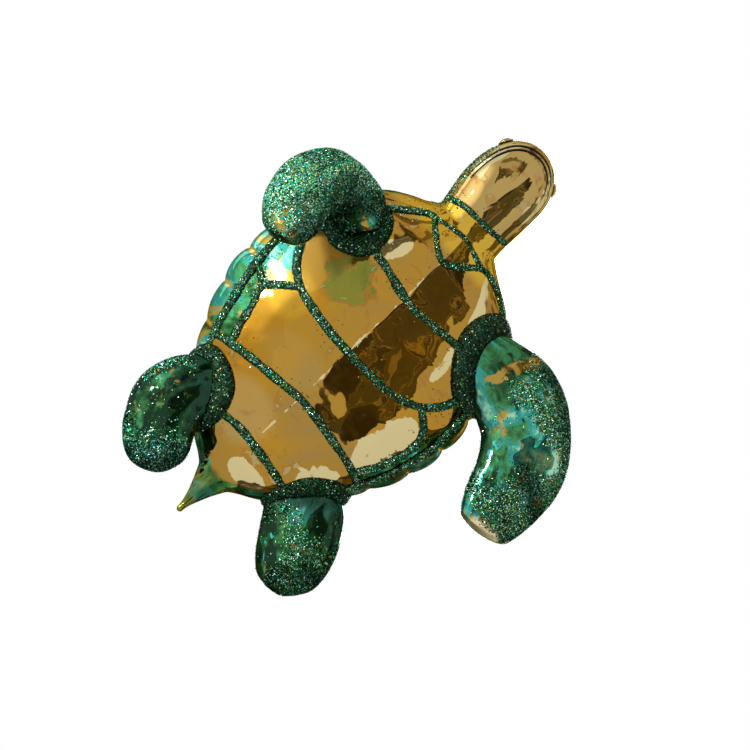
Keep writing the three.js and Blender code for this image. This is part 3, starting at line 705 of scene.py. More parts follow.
flipper_shares = 1 - (1 - np.linspace(0.0, 0.9995, FLIPPER_ROWS)) ** 1.5
part = flipper_shares[:, None]
lead_side, flat_side = np.cos(full_turn(FLIPPER_SIDES)), np.sin(full_turn(FLIPPER_SIDES))
flow = np.stack(np.broadcast_arrays(lead_side, flat_side, 1.6 * part, 1.0), -1).reshape(-1, 4)
flipper_grids, strewn_shares = {}, {}
for number, (name, shape) in enumerate(FLIPPERS.items()):
    lacquer, drift = FLIPPER_LACQUERS[name], DRIFTS[name]
    rings = flipper_rings(flipper_shares, **shape)
    lumps = waves(rings, LUMP_SEED + number, *FLIPPER_LUMPS) * np.sqrt(np.clip(1 - part, 0, 1))
    rings = rings + ring_normals(rings) * lumps[..., None]
    seen_side = smooth((shape["side"] * flat_side + 0.55) / 0.3)
    strewn = drift["along"] * part + drift["start"] + drift["across"] * lead_side
    strewn = smooth((strewn + waves(rings, DRIFT_SEED + number, *DRIFT_WAVES)) / drift["soft"])
    strewn = strewn * smooth((part - drift["bare"]) / 0.12) * (0.15 + 0.85 * seen_side)
    # Painted shade: darker lacquer toward the root, and on the front left flipper along its trailing edge.
    root = lacquer["root_shade"] * smooth((0.5 - part) / 0.25) + 0 * lead_side
    if name == "front_left":
        trailing_edge_shade = smooth((-lead_side - 0.72) / 0.16) * smooth((0.72 - part) / 0.12)
        root = np.maximum(root, 0.85 * trailing_edge_shade)
    band_at, band_share = lacquer["band"]
    band = smooth(1.4 - np.abs(part - band_at - 0.05 * lead_side) / 0.034) * seen_side
    band = band_share * band * smooth((lead_side + 0.5) / 0.4)
    finish = flipper_finish(
        f"cloudy green lacquer {name}", (0.1 + 0.07 * number, 0.2, 0.05 * number), lacquer["lift"],
        lacquer["ochre_from"], to_frame(rings[-1].mean(0)), lacquer["gold_tip"],
    )
    flipper = piece(f"{name}_flipper_glass", loft(rings), finish)
    mark(flipper, "flow", flow, flow[0], flow[-1], kind="FLOAT_COLOR", key="color")
    mark(flipper, "root", root, root[0, 0], root[-1, 0])
    mark(flipper, "amber", band, 0, 0)
    mark(flipper, "strewn", strewn, strewn[0, 0], strewn[-1, 0])
    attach(flipper, "glass")
    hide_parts(f"{name}_flipper")
    flipper_grids[name], strewn_shares[name] = rings, strewn

# Glitter on the flippers: thin bright flakes shaken over wet lacquer, dense in drifts and bare between them.
# Each flake is a flat lozenge that lies a little tilted in the lacquer.
FLAKE_SIZE = 0.19
FLAKE_THICK = 0.035
FLAKE_NARROW = 0.85
FLAKE_TILT = 0.42
FLAKE_SPREAD = (0.7, 1.25)
FLAKE_LIFT = (0.02, 0.14)
TINT_SPREAD = 0.45
LOZENGE = np.array([(0, 1, 4), (1, 2, 4), (2, 3, 4), (3, 0, 4), (1, 0, 5), (2, 1, 5), (3, 2, 5), (0, 3, 5)])
LOZENGE_MAP = np.array([(0.1, 0.1), (0.9, 0.1), (0.9, 0.9), (0.1, 0.9), (0.5, 0.5), (0.5, 0.5)])
BRIGHTEST = 0.95
TINTS = np.array([
    (0.005, 0.018, 0.005), (0.028, 0.130, 0.036), (0.018, 0.250, 0.160), (0.480, 0.820, 0.620),
    (0.340, 0.310, 0.060), (0.024, 0.090, 0.280),
])
FLIPPER_FLAKES = {
    "front_left": (19000, [0.38, 0.30, 0.13, 0.12, 0.05, 0.02]),
    "front_right": (19000, [0.21, 0.25, 0.25, 0.21, 0.05, 0.03]),
    "rear_left": (10000, [0.52, 0.27, 0.09, 0.08, 0.03, 0.01]),
    "rear_right": (13000, [0.56, 0.14, 0.16, 0.10, 0.01, 0.03]),
}
FLAKE_SEED = 70
TONE_SEED = 600
FLIPPER_TONES = [(17, 0.35), (11, 0.35), (7, 0.3), (4.5, 0.2)]
PAINTED_LIGHT_HEADWARD = {"front_right": 0.35, "rear_right": 0.7}


def scatter(rings, density, count, rng):
    """Random places on a grid of rings: a cell is drawn by its area times its density, and two random shares
    place the point between the cell's corners. Gives the places and the outward directions."""
    a, b = rings[:-1], np.roll(rings, -1, 1)[:-1]
    c, d = np.roll(rings, -1, 1)[1:], rings[1:]
    normal = np.cross(c - a, d - b)
    weight = (np.linalg.norm(normal, axis=-1) * np.broadcast_to(density, rings.shape[:2])[:-1]).ravel()
    drawn = rng.choice(weight.size, count, p=weight / weight.sum())
    a, b, c, d, normal = (grid.reshape(-1, 3)[drawn] for grid in (a, b, c, d, normal))
    s, t = rng.random((2, count, 1))
    return a * (1 - s) * (1 - t) + b * s * (1 - t) + c * s * t + d * (1 - s) * t, unit(normal)


def held(tints):
    """Tints scaled down where their strongest channel is too bright, so that a bright flake keeps its hue."""
    return tints * np.minimum(1, BRIGHTEST / tints.max(1, keepdims=True))


def flakes(places, normals, shares, rng):
    """Flattened octahedra: four corners about a tilted normal and a low point on either side.
    Gives the skin and one tint for each flake, drawn by shares."""
    count = len(places)
    side = unit(np.cross(normals, rng.normal(size=(count, 3))))
    lean = np.clip(rng.normal(0, FLAKE_TILT, (count, 2, 1)), -0.9, 0.9)
    facing = unit(normals + side * lean[:, 0] + np.cross(normals, side) * lean[:, 1])
    first = unit(np.cross(facing, rng.normal(size=(count, 3))))
    second = np.cross(facing, first)
    sizes = FLAKE_SIZE * rng.uniform(*FLAKE_SPREAD, (count, 1))
    middle = places + normals * rng.uniform(*FLAKE_LIFT, (count, 1))
    points = np.stack([
        middle + first * sizes, middle + second * sizes * FLAKE_NARROW,
        middle - first * sizes, middle - second * sizes * FLAKE_NARROW,
        middle + facing * FLAKE_THICK, middle - facing * FLAKE_THICK,
    ], 1)
    fans = (np.arange(count)[:, None, None] * len(LOZENGE_MAP) + LOZENGE).reshape(-1, 3)
    spread = int(np.ceil(np.sqrt(count)))
    cell = np.stack([np.arange(count) % spread, np.arange(count) // spread], -1)[:, None, None]
    flat = ((cell + LOZENGE_MAP[LOZENGE]) / spread).reshape(-1, 2)
    tint = TINTS[rng.choice(len(TINTS), count, p=shares)]
    tint = tint * np.exp(rng.normal(0, TINT_SPREAD, (count, 1)))
    return (points.reshape(-1, 3), np.zeros((0, 4), int), fans, flat), held(tint)


flake_finish, tree, shader = finish_of("glitter flakes")
feed(tree, shader, {
    "Base Color": attribute(tree, "tint", "Color"),
    "Roughness": sharpen(tree, noise(tree, own_place(tree), 900.0, 1.0), -0.2, 2.2),
    "Metallic": 1.0, "Specular Tint": (0.16, 0.36, 0.26, 1),
})


def strew(name, places, normals, shares, rng, shade=1.0):
    """A piece of glitter on the glass: flakes at places, their tints times a shade for all or for each."""
    skin, tint = flakes(places, normals, shares, rng)
    tint = held(tint * np.reshape(shade, (-1, 1)))
    tint = np.repeat(np.column_stack([tint, np.ones(len(tint))]), len(LOZENGE_MAP), 0)
    glitter = piece(name, skin, flake_finish, rounded=False)
    mark(glitter, "tint", tint, kind="FLOAT_COLOR", key="color")
    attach(glitter, "glass")


for number, (name, rings) in enumerate(flipper_grids.items()):
    rng = np.random.default_rng(FLAKE_SEED + number)
    count, shares = FLIPPER_FLAKES[name]
    density = strewn_shares[name] + 0.02 * smooth((part - 0.28) / 0.15)
    if name == "front_left":
        density = density * smooth((0.985 - part) / 0.05)
    places, normals = scatter(rings, density, count, rng)
    shade = np.exp(waves(places, TONE_SEED + number, *FLIPPER_TONES))
    # Painted light: on the two right flippers, flakes facing the turtle's right and its head are tinted
    # brighter, the others darker.
    if name in PAINTED_LIGHT_HEADWARD:
        lit = 0.35 - normals[:, 1] + PAINTED_LIGHT_HEADWARD[name] * normals[:, 0]
        shade = shade * (0.55 + 2.1 * smooth(lit / 0.8))
    strew(f"{name}_flipper_glitter", places, normals, shares, rng, shade)

# Collars: a thick bead of dark green glitter glue round each root hides the bond between flipper and bubble.
# The glue is drawn out onto both pieces of glass and is packed with fine flakes.
COLLAR_TURNS = 150
COLLAR_SIDES = 24
COLLAR_ALONG = 3.5
COLLAR_OUT = 2.3
COLLAR_SIZES = {"front_left": 1.0, "front_right": 0.85, "rear_left": 0.78, "rear_right": 1.0}
COLLAR_SEED = 7
COLLAR_WAVES = [(21, 0.08), (13, 0.07), (8, 0.06)]
COLLAR_FLAKES = 5200
COLLAR_FLAKE_SEED = 120
COLLAR_SHARES = [0.71, 0.17, 0.05, 0.04, 0.02, 0.01]
GLUES = [(0.3, (0.003, 0.012, 0.005)), (0.6, (0.008, 0.032, 0.013)), (0.8, (0.018, 0.070, 0.028))]


def inside_bubble(points):
    """Millimetres up or down to the bubble's nearer side, positive inside it."""
    u, v, z = np.moveaxis(points, -1, 0)
    width, _, _, aside, _ = section(u)
    share = (v - aside) / np.maximum(width, 1e-6)
    back, belly = rise_and_fall(u, share)
    return np.where(np.abs(share) < 1, np.minimum(back - z, z - belly), -1.0)


def bubble_normals(points):
    """Outward directions of the bubble near points: the downhill way of inside_bubble over small moves."""
    moves = np.eye(3) * 0.05
    slope = [inside_bubble(points + move) - inside_bubble(points - move) for move in moves]
    return unit(-np.stack(slope, -1))


def closed_smooth(values, reach):
    """A closed row of values averaged over neighbours, repeatedly."""
    for _ in range(reach):
        values = (np.roll(values, 1, 0) + 2 * values + np.roll(values, -1, 0)) / 4
    return values


def collar_rings(name):
    """Ovals round the line where the flipper leaves the bubble, wide along both skins and low across them."""
    rings = flipper_rings(np.linspace(-0.25, 0.75, 500), **FLIPPERS[name])
    depth = inside_bubble(rings)
    leaving = np.argmax(depth <= 0, axis=0)
    sides = np.arange(FLIPPER_SIDES)
    before, after = depth[leaving - 1, sides], depth[leaving, sides]
    crossed = (before / np.maximum(before - after, 1e-6))[:, None]
    line = rings[leaving - 1, sides] * (1 - crossed) + rings[leaving, sides] * crossed
    along = unit(rings[leaving + 2, sides] - rings[leaving - 2, sides])
    outward = ring_normals(rings)[leaving, sides]
    at, known = np.arange(COLLAR_TURNS) * FLIPPER_SIDES / COLLAR_TURNS, np.arange(FLIPPER_SIDES + 1)
    rows = (closed_smooth(values, 12) for values in (line, along, outward))
    line, along, outward = (columns_at(at, known, np.concatenate([values, values[:1]])) for values in rows)
    lift = unit(unit(along) + unit(outward))
    wide = unit(unit(along) - unit(outward))
    angle = full_turn(COLLAR_SIDES)
    size = 1 + waves(line, COLLAR_SEED, *COLLAR_WAVES)
    offset = wide[:, None] * (COLLAR_ALONG * np.cos(angle))[:, None]
    offset = offset + lift[:, None] * (COLLAR_OUT * np.sin(angle))[:, None]
    rings = line[:, None] + offset * (COLLAR_SIZES[name] * size)[:, None, None]
    onward = np.roll(line, -1, 0) - np.roll(line, 1, 0)
    return rings[::-1] if np.sum(np.cross(wide, lift) * onward) < 0 else rings


def gathered(beds):
    """Places and outward directions of several beds of flakes in one."""
    return [np.concatenate(rows) for rows in zip(*beds)]


bead_finish, tree, shader = finish_of("dark green glitter glue")
noises = clouds(tree, (0.6, 0.3, 0.1), 260.0)
grain = node(tree, "TexVoronoi", {"Vector": own_place(tree), "Scale": 2400.0}).outputs["Distance"]
feed(tree, shader, {
    "Base Color": ramp(tree, noises["Vein"], *GLUES),
    "Roughness": sharpen(tree, noises["Vein"], -0.1, 1.6),
    "Normal": dent(tree, grain, 0.0003, 0.7),
    "Metallic": 0.4, "Specular IOR Level": 0.3,
})
collar_cover = smooth((np.sin(full_turn(COLLAR_SIDES)) + 0.45) / 0.5)
rng = np.random.default_rng(COLLAR_FLAKE_SEED)
beds = []
for name in FLIPPERS:
    rings = collar_rings(name)
    bead = piece(f"{name}_collar_bead", hoop(rings), bead_finish)
    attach(bead, "glass")
    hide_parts(f"{name}_collar")
    beds.append(scatter(np.concatenate([rings, rings[:1]]), collar_cover, COLLAR_FLAKES, rng))
strew("collar_glitter", *gathered(beds), COLLAR_SHARES, rng)

# Belly trails: glitter glue squeezed in lines over the gold, where the plates of the plastron meet.
# Each is a low half-round bead, strewn with green flakes while it is wet. Some flakes strayed beside it.
TRAIL_HALF = 1.0
TRAIL_RISE = 0.75
TRAIL_SUNK = 0.45
TRAIL_SIDES = 14
TRAIL_STEP = 0.55
TRAIL_SEED = 300
TRAIL_WAVES = [(9, 0.07), (5.5, 0.07), (3.2, 0.05)]
TRAILS = {
    "marginal_line_right": [(0.47, -0.91), (0.34, -0.93), (-0.022, -0.876), (-0.22, -0.86), (-0.445, -0.873),
                            (-0.56, -0.9)],
    "marginal_line_left": [(-0.58, 0.92), (-0.455, 0.908), (-0.2, 0.905), (0.1, 0.915), (0.34, 0.94)],
    "femoral_line": [(-0.71, -0.55), (-0.69, -0.2), (-0.7, 0.02), (-0.71, 0.24), (-0.745, 0.7)],
    "abdominal_line": [(-0.445, -0.873), (-0.418, -0.7), (-0.393, -0.5), (-0.368, -0.2), (-0.352, 0.05),
                       (-0.375, 0.35), (-0.4, 0.6), (-0.427, 0.77), (-0.455, 0.908)],
    "pectoral_line": [(0.43, -0.78), (0.29, -0.81), (0.14, -0.69), (0.056, -0.54), (0.018, -0.33), (0, -0.1),
                      (0, 0.25), (0.024, 0.47), (0.085, 0.63), (0.18, 0.75), (0.32, 0.85)],
    "humeral_line": [(0.53, -0.8), (0.5, -0.33), (0.45, 0), (0.45, 0.2), (0.5, 0.75)],
    "gular_line": [(0.61, -0.84), (0.81, -0.7), (0.9, -0.56), (0.84, -0.3), (0.755, 0), (0.83, 0.24),
                   (0.895, 0.5), (0.89, 0.76), (0.83, 0.9), (0.66, 0.96)],
    "neck_line": [(0.9, -0.56), (0.94, 0), (0.895, 0.5)],
    "throat_line": [(1.16, -0.95), (1.28, -0.5), (1.3, 0), (1.34, 0.5), (1.42, 0.95)],
    "bridge_line_right": [(0.056, -0.54), (-0.084, -0.73), (-0.2, -0.71), (-0.31, -0.71), (-0.418, -0.7)],
    "bridge_line_left": [(-0.427, 0.77), (-0.324, 0.8), (-0.21, 0.82), (-0.067, 0.81), (0.012, 0.75),
                         (0.085, 0.63)],
    "bridge_tick_right": [(-0.022, -0.876), (-0.084, -0.73)],
}
SLIM_TRAILS = {"neck_line": 0.58, "throat_line": 0.68, "gular_line": 0.77, "bridge_tick_right": 0.85}
TRAIL_SHARES = [0.21, 0.36, 0.20, 0.14, 0.08, 0.01]
FLAKES_PER_SQUARE = 11.5
TRAIL_FLAKE_SEED = 200
BELLY_STRIP = 2.9
SKIN_DEPTH = 0.02
STRAYS = 2600
STRAY_REACH = 1.7


def through(stops, spacing):
    """A smooth line through stops: cubics whose slope at a stop is half the step between its neighbours."""
    stops = np.asarray(stops, float)
    padded = np.concatenate([stops[:1], stops, stops[-1:]])
    share = np.linspace(0, 1, spacing, endpoint=False)[:, None]
    before, first = padded[:-3, None], padded[1:-2, None]
    second, behind = padded[2:-1, None], padded[3:, None]
    near, far = (second - before) / 2, (behind - first) / 2
    line = (first + near * share + (3 * (second - first) - 2 * near - far) * share**2
            + (2 * (first - second) + near + far) * share**3)
    return np.concatenate([line.reshape(-1, stops.shape[1]), stops[-1:]])


def run_along(line):
    """Length of a line from its start to each of its points."""
    return np.concatenate([[0], np.cumsum(np.linalg.norm(np.diff(line, axis=0), axis=1))])


def evenly(line, spacing):
    """The same line with its points about a spacing apart."""
    run = run_along(line)
    return columns_at(np.linspace(0, run[-1], max(int(run[-1] / spacing), 6) + 1), run, line)


def bead_rings(line, normals, half, rise, seed):
    """Half-round rings along a line on the glass: wide across it, high on its outer side and sunk a little
    on its inner side. Slow waves vary the width, and both ends are drawn in round."""
    wide = unit(np.cross(normals, unit(np.gradient(line, axis=0))))
    angle = full_turn(TRAIL_SIDES)
    run = run_along(line)
    ends = np.minimum(run, run[-1] - run) / half
    size = 1 + waves(line, seed, *TRAIL_WAVES)
    size = size * np.sqrt(np.clip(ends * (2 - ends), 0.02, 1) * (ends < 1) + (ends >= 1))
    height = np.where(np.sin(angle) > 0, rise, TRAIL_SUNK * rise) * np.sin(angle)
    offset = wide[:, None] * (half * np.cos(angle))[:, None] + normals[:, None] * height[:, None]
    return line[:, None] + offset * size[:, None, None]


def on_bubble(stops, face):
    """A line over the bubble from shares along and across, on the belly (-1) or on the back (1)."""
    plan = through(stops, 24)
    share = np.clip(plan[:, 1], -0.995, 0.995)
    line = evenly(bubble_point(station_at(plan[:, 0]), face * np.arccos(share)), TRAIL_STEP)
    return line, bubble_normals(line - [0, 0, face * SKIN_DEPTH])


trail_cover = smooth((np.sin(full_turn(TRAIL_SIDES)) + 0.25) / 0.4)


def trail(stops, face, size, strip, seed, rng):
    """The skin of a bead of a size along stops, and its bed of flakes, so many to a square mm of a strip."""
    line, normals = on_bubble(stops, face)
    rings = bead_rings(line, normals, TRAIL_HALF * size, TRAIL_RISE * size, seed)
    count = int(run_along(line)[-1] * strip * FLAKES_PER_SQUARE)
    return loft(rings), scatter(rings, trail_cover, count, rng)


rng = np.random.default_rng(TRAIL_FLAKE_SEED)
beds = []
for number, (name, stops) in enumerate(TRAILS.items()):
    slim = SLIM_TRAILS.get(name, 1.0)
    skin, bed = trail(stops, -1, slim, BELLY_STRIP * slim, TRAIL_SEED + number, rng)
    bead = piece(f"{name}_bead", skin, bead_finish)
    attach(bead, "glass")
    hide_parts(name)
    beds.append(bed)
laid = gathered(beds)[0]
strays = laid[rng.choice(len(laid), STRAYS)] + rng.normal(0, STRAY_REACH, (STRAYS, 3))
width, _, _, aside, _ = section(strays[:, 0])
share = (strays[:, 1] - aside) / width
kept = (np.abs(share) < 0.97) & (rng.random(STRAYS) < 0.25 + 0.75 * smooth((-0.45 - share) / 0.3))
strays = bubble_point(strays[kept, 0], -np.arccos(share[kept]))
beds.append((strays, bubble_normals(strays + [0, 0, SKIN_DEPTH])))
strew("belly_trail_glitter", *gathered(beds), TRAIL_SHARES, rng)

# Carapace trails: the same glitter glue draws the scutes of the back, a row of five down the middle,
# four to each side of it and the line above the marginals. They leave room for the spout and its cap.
ZIGZAG = [(0.86, 0.1), (0.72, 0.26), (0.58, 0.17), (0.4, 0.34), (0.2, 0.24), (-0.03, 0.38), (-0.27, 0.24),
          (-0.45, 0.33), (-0.62, 0.18), (-0.78, 0.24), (-0.9, 0.08)]
CROSSINGS = [(0.58, 0.17), (0.2, 0.24), (-0.27, 0.24), (-0.62, 0.18)]
COSTALS = [[(0.72, 0.26), (0.7, 0.5), (0.64, 0.8)], [(0.4, 0.34), (0.4, 0.6), (0.36, 0.89)],
           [(-0.03, 0.38), (-0.03, 0.65), (-0.04, 0.9)], [(-0.45, 0.33), (-0.47, 0.6), (-0.52, 0.88)],
           [(-0.78, 0.24), (-0.82, 0.45), (-0.86, 0.7)]]
RIM_LINE = [(0.9, 0.3), (0.8, 0.66), (0.64, 0.8), (0.36, 0.89), (0.15, 0.905), (-0.04, 0.9), (-0.3, 0.895),
            (-0.52, 0.88), (-0.72, 0.82), (-0.86, 0.7), (-0.95, 0.4)]
CARAPACE_SIZE = 0.9
CARAPACE_STRIP = 2.6
CARAPACE_SEED = 420
CARAPACE_FLAKE_SEED = 400


def joined(skins):
    """Several closed skins as one: later points and faces follow the earlier ones, the maps side by side."""
    starts = np.cumsum([0] + [len(points) for points, _, _, _ in skins])
    points = np.concatenate([skin[0] for skin in skins])
    quads = np.concatenate([skin[1] + start for skin, start in zip(skins, starts)])
    fans = np.concatenate([skin[2] + start for skin, start in zip(skins, starts)])
    strips = [(skin[3] + (number, 0)) / (len(skins), 1) for number, skin in enumerate(skins)]
    quad_maps = [strip[:4 * len(skin[1])] for strip, skin in zip(strips, skins)]
    fan_maps = [strip[4 * len(skin[1]):] for strip, skin in zip(strips, skins)]
    return points, quads, fans, np.concatenate([*quad_maps, *fan_maps])


lines = [[(at, half), (at + 0.012, 0), (at, -half)] for at, half in CROSSINGS]
for side in (1, -1):
    lines += [[(at, side * share) for at, share in stops] for stops in [ZIGZAG, *COSTALS, RIM_LINE]]
rng = np.random.default_rng(CARAPACE_FLAKE_SEED)
skins, beds = zip(*(trail(stops, 1, CARAPACE_SIZE, CARAPACE_STRIP, CARAPACE_SEED + number, rng)
                    for number, stops in enumerate(lines)))
carapace_trails = piece("carapace_trail_beads", joined(skins), bead_finish)
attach(carapace_trails, "glass")
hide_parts("carapace_lines")
strew("carapace_trail_glitter", *gathered(beds), TRAIL_SHARES, rng)

# Crown glitter: flakes strewn over the green lacquer on top of the head and down its right cheek.
# They lie straight on the glass, thinning out toward the gold of the throat.
CROWN_FLAKES = 5200
CROWN_FLAKE_SEED = 500
CROWN_END = 68.0
on_head = (stations[:, 0] > SHELL_NOSE - 2) & (stations[:, 0] < SNOUT_AT - 3)
crown_share = smooth((np.sin(turns) + 0.32 - 0.35 * np.cos(turns)) / 0.35)
crown_share = crown_share * smooth((CROWN_END - stations[on_head]) / 7)
rng = np.random.default_rng(CROWN_FLAKE_SEED)
strew("crown_glitter", *scatter(bubble_rings[on_head], crown_share, CROWN_FLAKES, rng), TRAIL_SHARES, rng)

# Face: two fine black lines drawn by brush round the jaw, and a domed black eye on either side of the head.
# The lines are raised enamel, the eyes drops of it with a thin gold ring.
MOUTH_LINES = [(-3.7, 55.2), (-4.7, 55.6)]
LINE_HALF = 0.21
LINE_RISE = 0.14
LINE_STEP = 0.3
LINE_SEED = 520
EYE_AT = 68.3
EYE_TURN = 0.16
EYE_RADIUS = 1.7
EYE_DOME = 0.55
EYE_ROWS = 24
EYE_SIDES = 48
RING_THICK = 0.22
RING_OUT = 0.1
RING_SIDES = 12
ENAMELS = [(0.3, (0.004, 0.003, 0.003)), (0.8, (0.022, 0.016, 0.010))]
RING_GOLDS = [(0.3, (0.52, 0.32, 0.08)), (0.8, (0.72, 0.50, 0.18))]
enamel_finish, tree, shader = finish_of("black enamel")
noises = clouds(tree, (0.4, 0.1, 0.3), 300.0)
feed(tree, shader, {
    "Base Color": ramp(tree, noises["Vein"], *ENAMELS),
    "Roughness": sharpen(tree, noises["Vein"], -0.6, 4.0),
    "Specular IOR Level": 0.25, "Coat Weight": 0.15,
})
ring_finish, tree, shader = finish_of("gold paint")
noises = clouds(tree, (0.1, 0.5, 0.2), 200.0)
feed(tree, shader, {
    "Base Color": ramp(tree, noises["Vein"], *RING_GOLDS),
    "Roughness": sharpen(tree, noises["Vein"], -0.6, 2.4),
    "Metallic": 0.9,
})


def jaw_line(level, start):
    """The bubble cut level at a height below the rim: for every station both sides where it is that high."""
    rows = np.linspace(HEAD_AT, SNOUT_AT - 1e-3, 4000)
    front = rows[np.nonzero(section(rows)[2] > -level)[0][-1]]
    share = np.linspace(-1, 1, 401)
    u = start + (front - start) * (1 - np.abs(share) ** 2.2)
    lift = np.clip(-level / section(u)[2], 0, 1)
    turn = -np.arccos(np.clip(np.sign(share) * np.sqrt(1 - lift**2), -1, 1))
    line = evenly(bubble_point(u, turn), LINE_STEP)
    return line, bubble_normals(line + [0, 0, SKIN_DEPTH])


mouth = piece("mouth_lines", joined([
    loft(bead_rings(*jaw_line(level, start), LINE_HALF, LINE_RISE, LINE_SEED + number))
    for number, (level, start) in enumerate(MOUTH_LINES)
]), enamel_finish)
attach(mouth, "glass")

bow = np.linspace(-0.35, 1, EYE_ROWS)[:-1, None, None] * np.pi / 2
turn = full_turn(EYE_SIDES)[:, None]
tube = full_turn(RING_SIDES)[None, :, None]
eye_skins, ring_skins = [], []
for side in (1, -1):
    eye_turn = EYE_TURN if side > 0 else np.pi - EYE_TURN
    centre = bubble_point(np.array([EYE_AT]), np.array([eye_turn]))
    outward = bubble_normals(centre - [0, side * 0.05, 0])[0]
    first = unit(np.cross(outward, [0, 0, 1.0]))
    second = np.cross(outward, first)
    spoke = np.cos(turn) * first + np.sin(turn) * second
    dome = EYE_RADIUS * np.cos(bow) * spoke + EYE_DOME * EYE_RADIUS * np.sin(bow) * outward
    ring = spoke[:, None] * (EYE_RADIUS + RING_THICK * np.cos(tube))
    ring = ring + outward * (RING_OUT + RING_THICK * np.sin(tube))
    eye_skins.append(loft(centre[0] + dome))
    ring_skins.append(hoop(centre[0] + ring))
eyes = piece("eyes", joined(eye_skins), enamel_finish)
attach(eyes, "glass")
eye_rings = piece("eye_rings", joined(ring_skins), ring_finish)
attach(eye_rings, "glass")

# Cap: a thin brass cup with pressed flutes and a rolled edge, pushed over the spout.
# The two legs of the wire pass through the round hole in its top.
GAP = 0.3
CAP_WALL = 0.5
CAP_SKIRT = 6.5
CAP_HOLE = 1.7
CAP_FLUTES = 12
CAP_FLUTE_DEPTH = 0.25
CAP_HEM = 0.35
CAP_SHOULDER = 0.4
CAP_SIDES = 240
BRASSES = [(0.3, (0.50, 0.31, 0.09)), (0.6, (0.66, 0.45, 0.16)), (0.8, (0.74, 0.54, 0.24))]
cap_inner = SPOUT_RADIUS + GAP
cap_outer = cap_inner + CAP_WALL
cap_floor = spout_top + GAP
cap_top = cap_floor + CAP_WALL
cap_mouth = cap_floor - CAP_SKIRT
brass_finish, tree, shader = finish_of("drawn brass")
noises = clouds(tree, (0.2, 0.7, 0.3), 160.0)
feed(tree, shader, {
    "Base Color": ramp(tree, noises["Cloud"], *BRASSES),
    "Roughness": sharpen(tree, noises["Vein"], -0.3, 2.2),
    "Normal": dent(tree, noises["Vein"], 0.0001, 0.3),
    "Metallic": 1.0,
})
edge = np.linspace(0, np.pi, 9)
quarter = edge[4::-1]
cap_profile = np.concatenate([
    [(CAP_HOLE, cap_floor)],
    [(cap_inner, height) for height in np.linspace(cap_floor, cap_mouth + CAP_HEM, 12)],
    np.stack([cap_inner + CAP_HEM - CAP_HEM * np.cos(edge),
              cap_mouth + CAP_HEM - CAP_HEM * np.sin(edge)], -1),
    [(cap_outer, height) for height in np.linspace(cap_mouth + 2 * CAP_HEM, cap_top - CAP_SHOULDER, 12)],
    np.stack([cap_outer - CAP_SHOULDER + CAP_SHOULDER * np.sin(quarter),
              cap_top - CAP_SHOULDER + CAP_SHOULDER * np.cos(quarter)], -1),
    [(CAP_HOLE, cap_top)],
])
rings = turned(cap_profile, CAP_SIDES) - [SPOUT_AT, 0, 0]
press = smooth((cap_floor - rings[..., 2]) / 1.2)
turn = np.arctan2(rings[..., 1], rings[..., 0])
rings[..., :2] *= (1 + CAP_FLUTE_DEPTH / cap_inner * (1 - np.cos(CAP_FLUTES * turn)) * press)[..., None]
cap = piece("brass_cap", hoop(rings + [SPOUT_AT, 0, 0]), brass_finish)
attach(cap, "cap")
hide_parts("hanger_cap")

# Wire: one length of sprung brass wire bent to a loop, its legs side by side through the cap.
# Inside the spout the legs spread and press on the glass, which holds the ornament on its loop.
WIRE_RADIUS = 0.5
WIRE_SIDES = 20
WIRE_STEP = 0.25
LOOP_INNER = 4.0
LOOP_BENDS = [45, 75, 105, 135, 160]
LEG_GAP = 0.5
LEG_LENGTH = 13.0
KNEE_SHARE = 0.45
leg_aside = LEG_GAP / 2 + WIRE_RADIUS
leg_spread = SPOUT_BORE - GAP - WIRE_RADIUS
loop_radius = LOOP_INNER + WIRE_RADIUS
loop_centre = cap_top + WIRE_RADIUS + loop_radius
leg_foot = cap_floor - LEG_LENGTH
knee = (leg_aside + (leg_spread - leg_aside) * KNEE_SHARE, (cap_floor + leg_foot) / 2)
half = [(leg_spread, leg_foot), knee]
half += [(leg_aside, cap_floor - WIRE_RADIUS), (leg_aside, cap_top + WIRE_RADIUS)]
bends = np.radians(LOOP_BENDS)
half += list(zip(loop_radius * np.sin(bends), loop_centre - loop_radius * np.cos(bends)))
whole = through(half + [(0, loop_centre + loop_radius)] + [(-aside, up) for aside, up in half[::-1]], 12)
line = evenly(np.insert(whole, 0, SPOUT_AT, axis=1), WIRE_STEP)
forward = np.array([1.0, 0, 0])
inward = np.cross(unit(np.gradient(line, axis=0)), forward)
angle = full_turn(WIRE_SIDES)[:, None]
rings = line[:, None] + WIRE_RADIUS * (forward * np.cos(angle) + inward[:, None] * np.sin(angle))
wire = piece("wire_loop", loft(rings), brass_finish)
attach(wire, "hanger")
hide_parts("spring_wire")

# Camera: a long lens that looks up at the belly, as the photographer looked down at the turtle on its back.
# It is rolled so that the head points to the upper right, and shifted so that the focus lies on its pixel.
SIDE_TILT = np.radians(4.0)
ROLL = np.radians(43.5)
FOCUS = np.array([0.0, 0.0, -12.0])
DISTANCE = 490.0
LENS = 100.0
SENSOR = 36.0
PIXELS = 750
FOCUS_PIXEL = (330.0, 369.5)
toward = np.array([0.0, -np.sin(SIDE_TILT), -np.cos(SIDE_TILT)])
ahead = np.array([1.0, 0.0, 0.0])
leftward = unit(np.array([0.0, 1.0, 0.0]) - toward[1] * toward)
right = np.cos(ROLL) * ahead + np.sin(ROLL) * leftward
upward = np.sin(ROLL) * ahead - np.cos(ROLL) * leftward
focal = PIXELS * LENS / SENSOR
shift_right = (FOCUS_PIXEL[0] - PIXELS / 2) / focal
shift_up = (PIXELS / 2 - FOCUS_PIXEL[1]) / focal
viewpoint = FOCUS + DISTANCE * (toward - shift_right * right - shift_up * upward)


def heading(vector):
    """A direction in forward, left and up, as the frame's."""
    return np.array([vector[1], -vector[0], vector[2]])


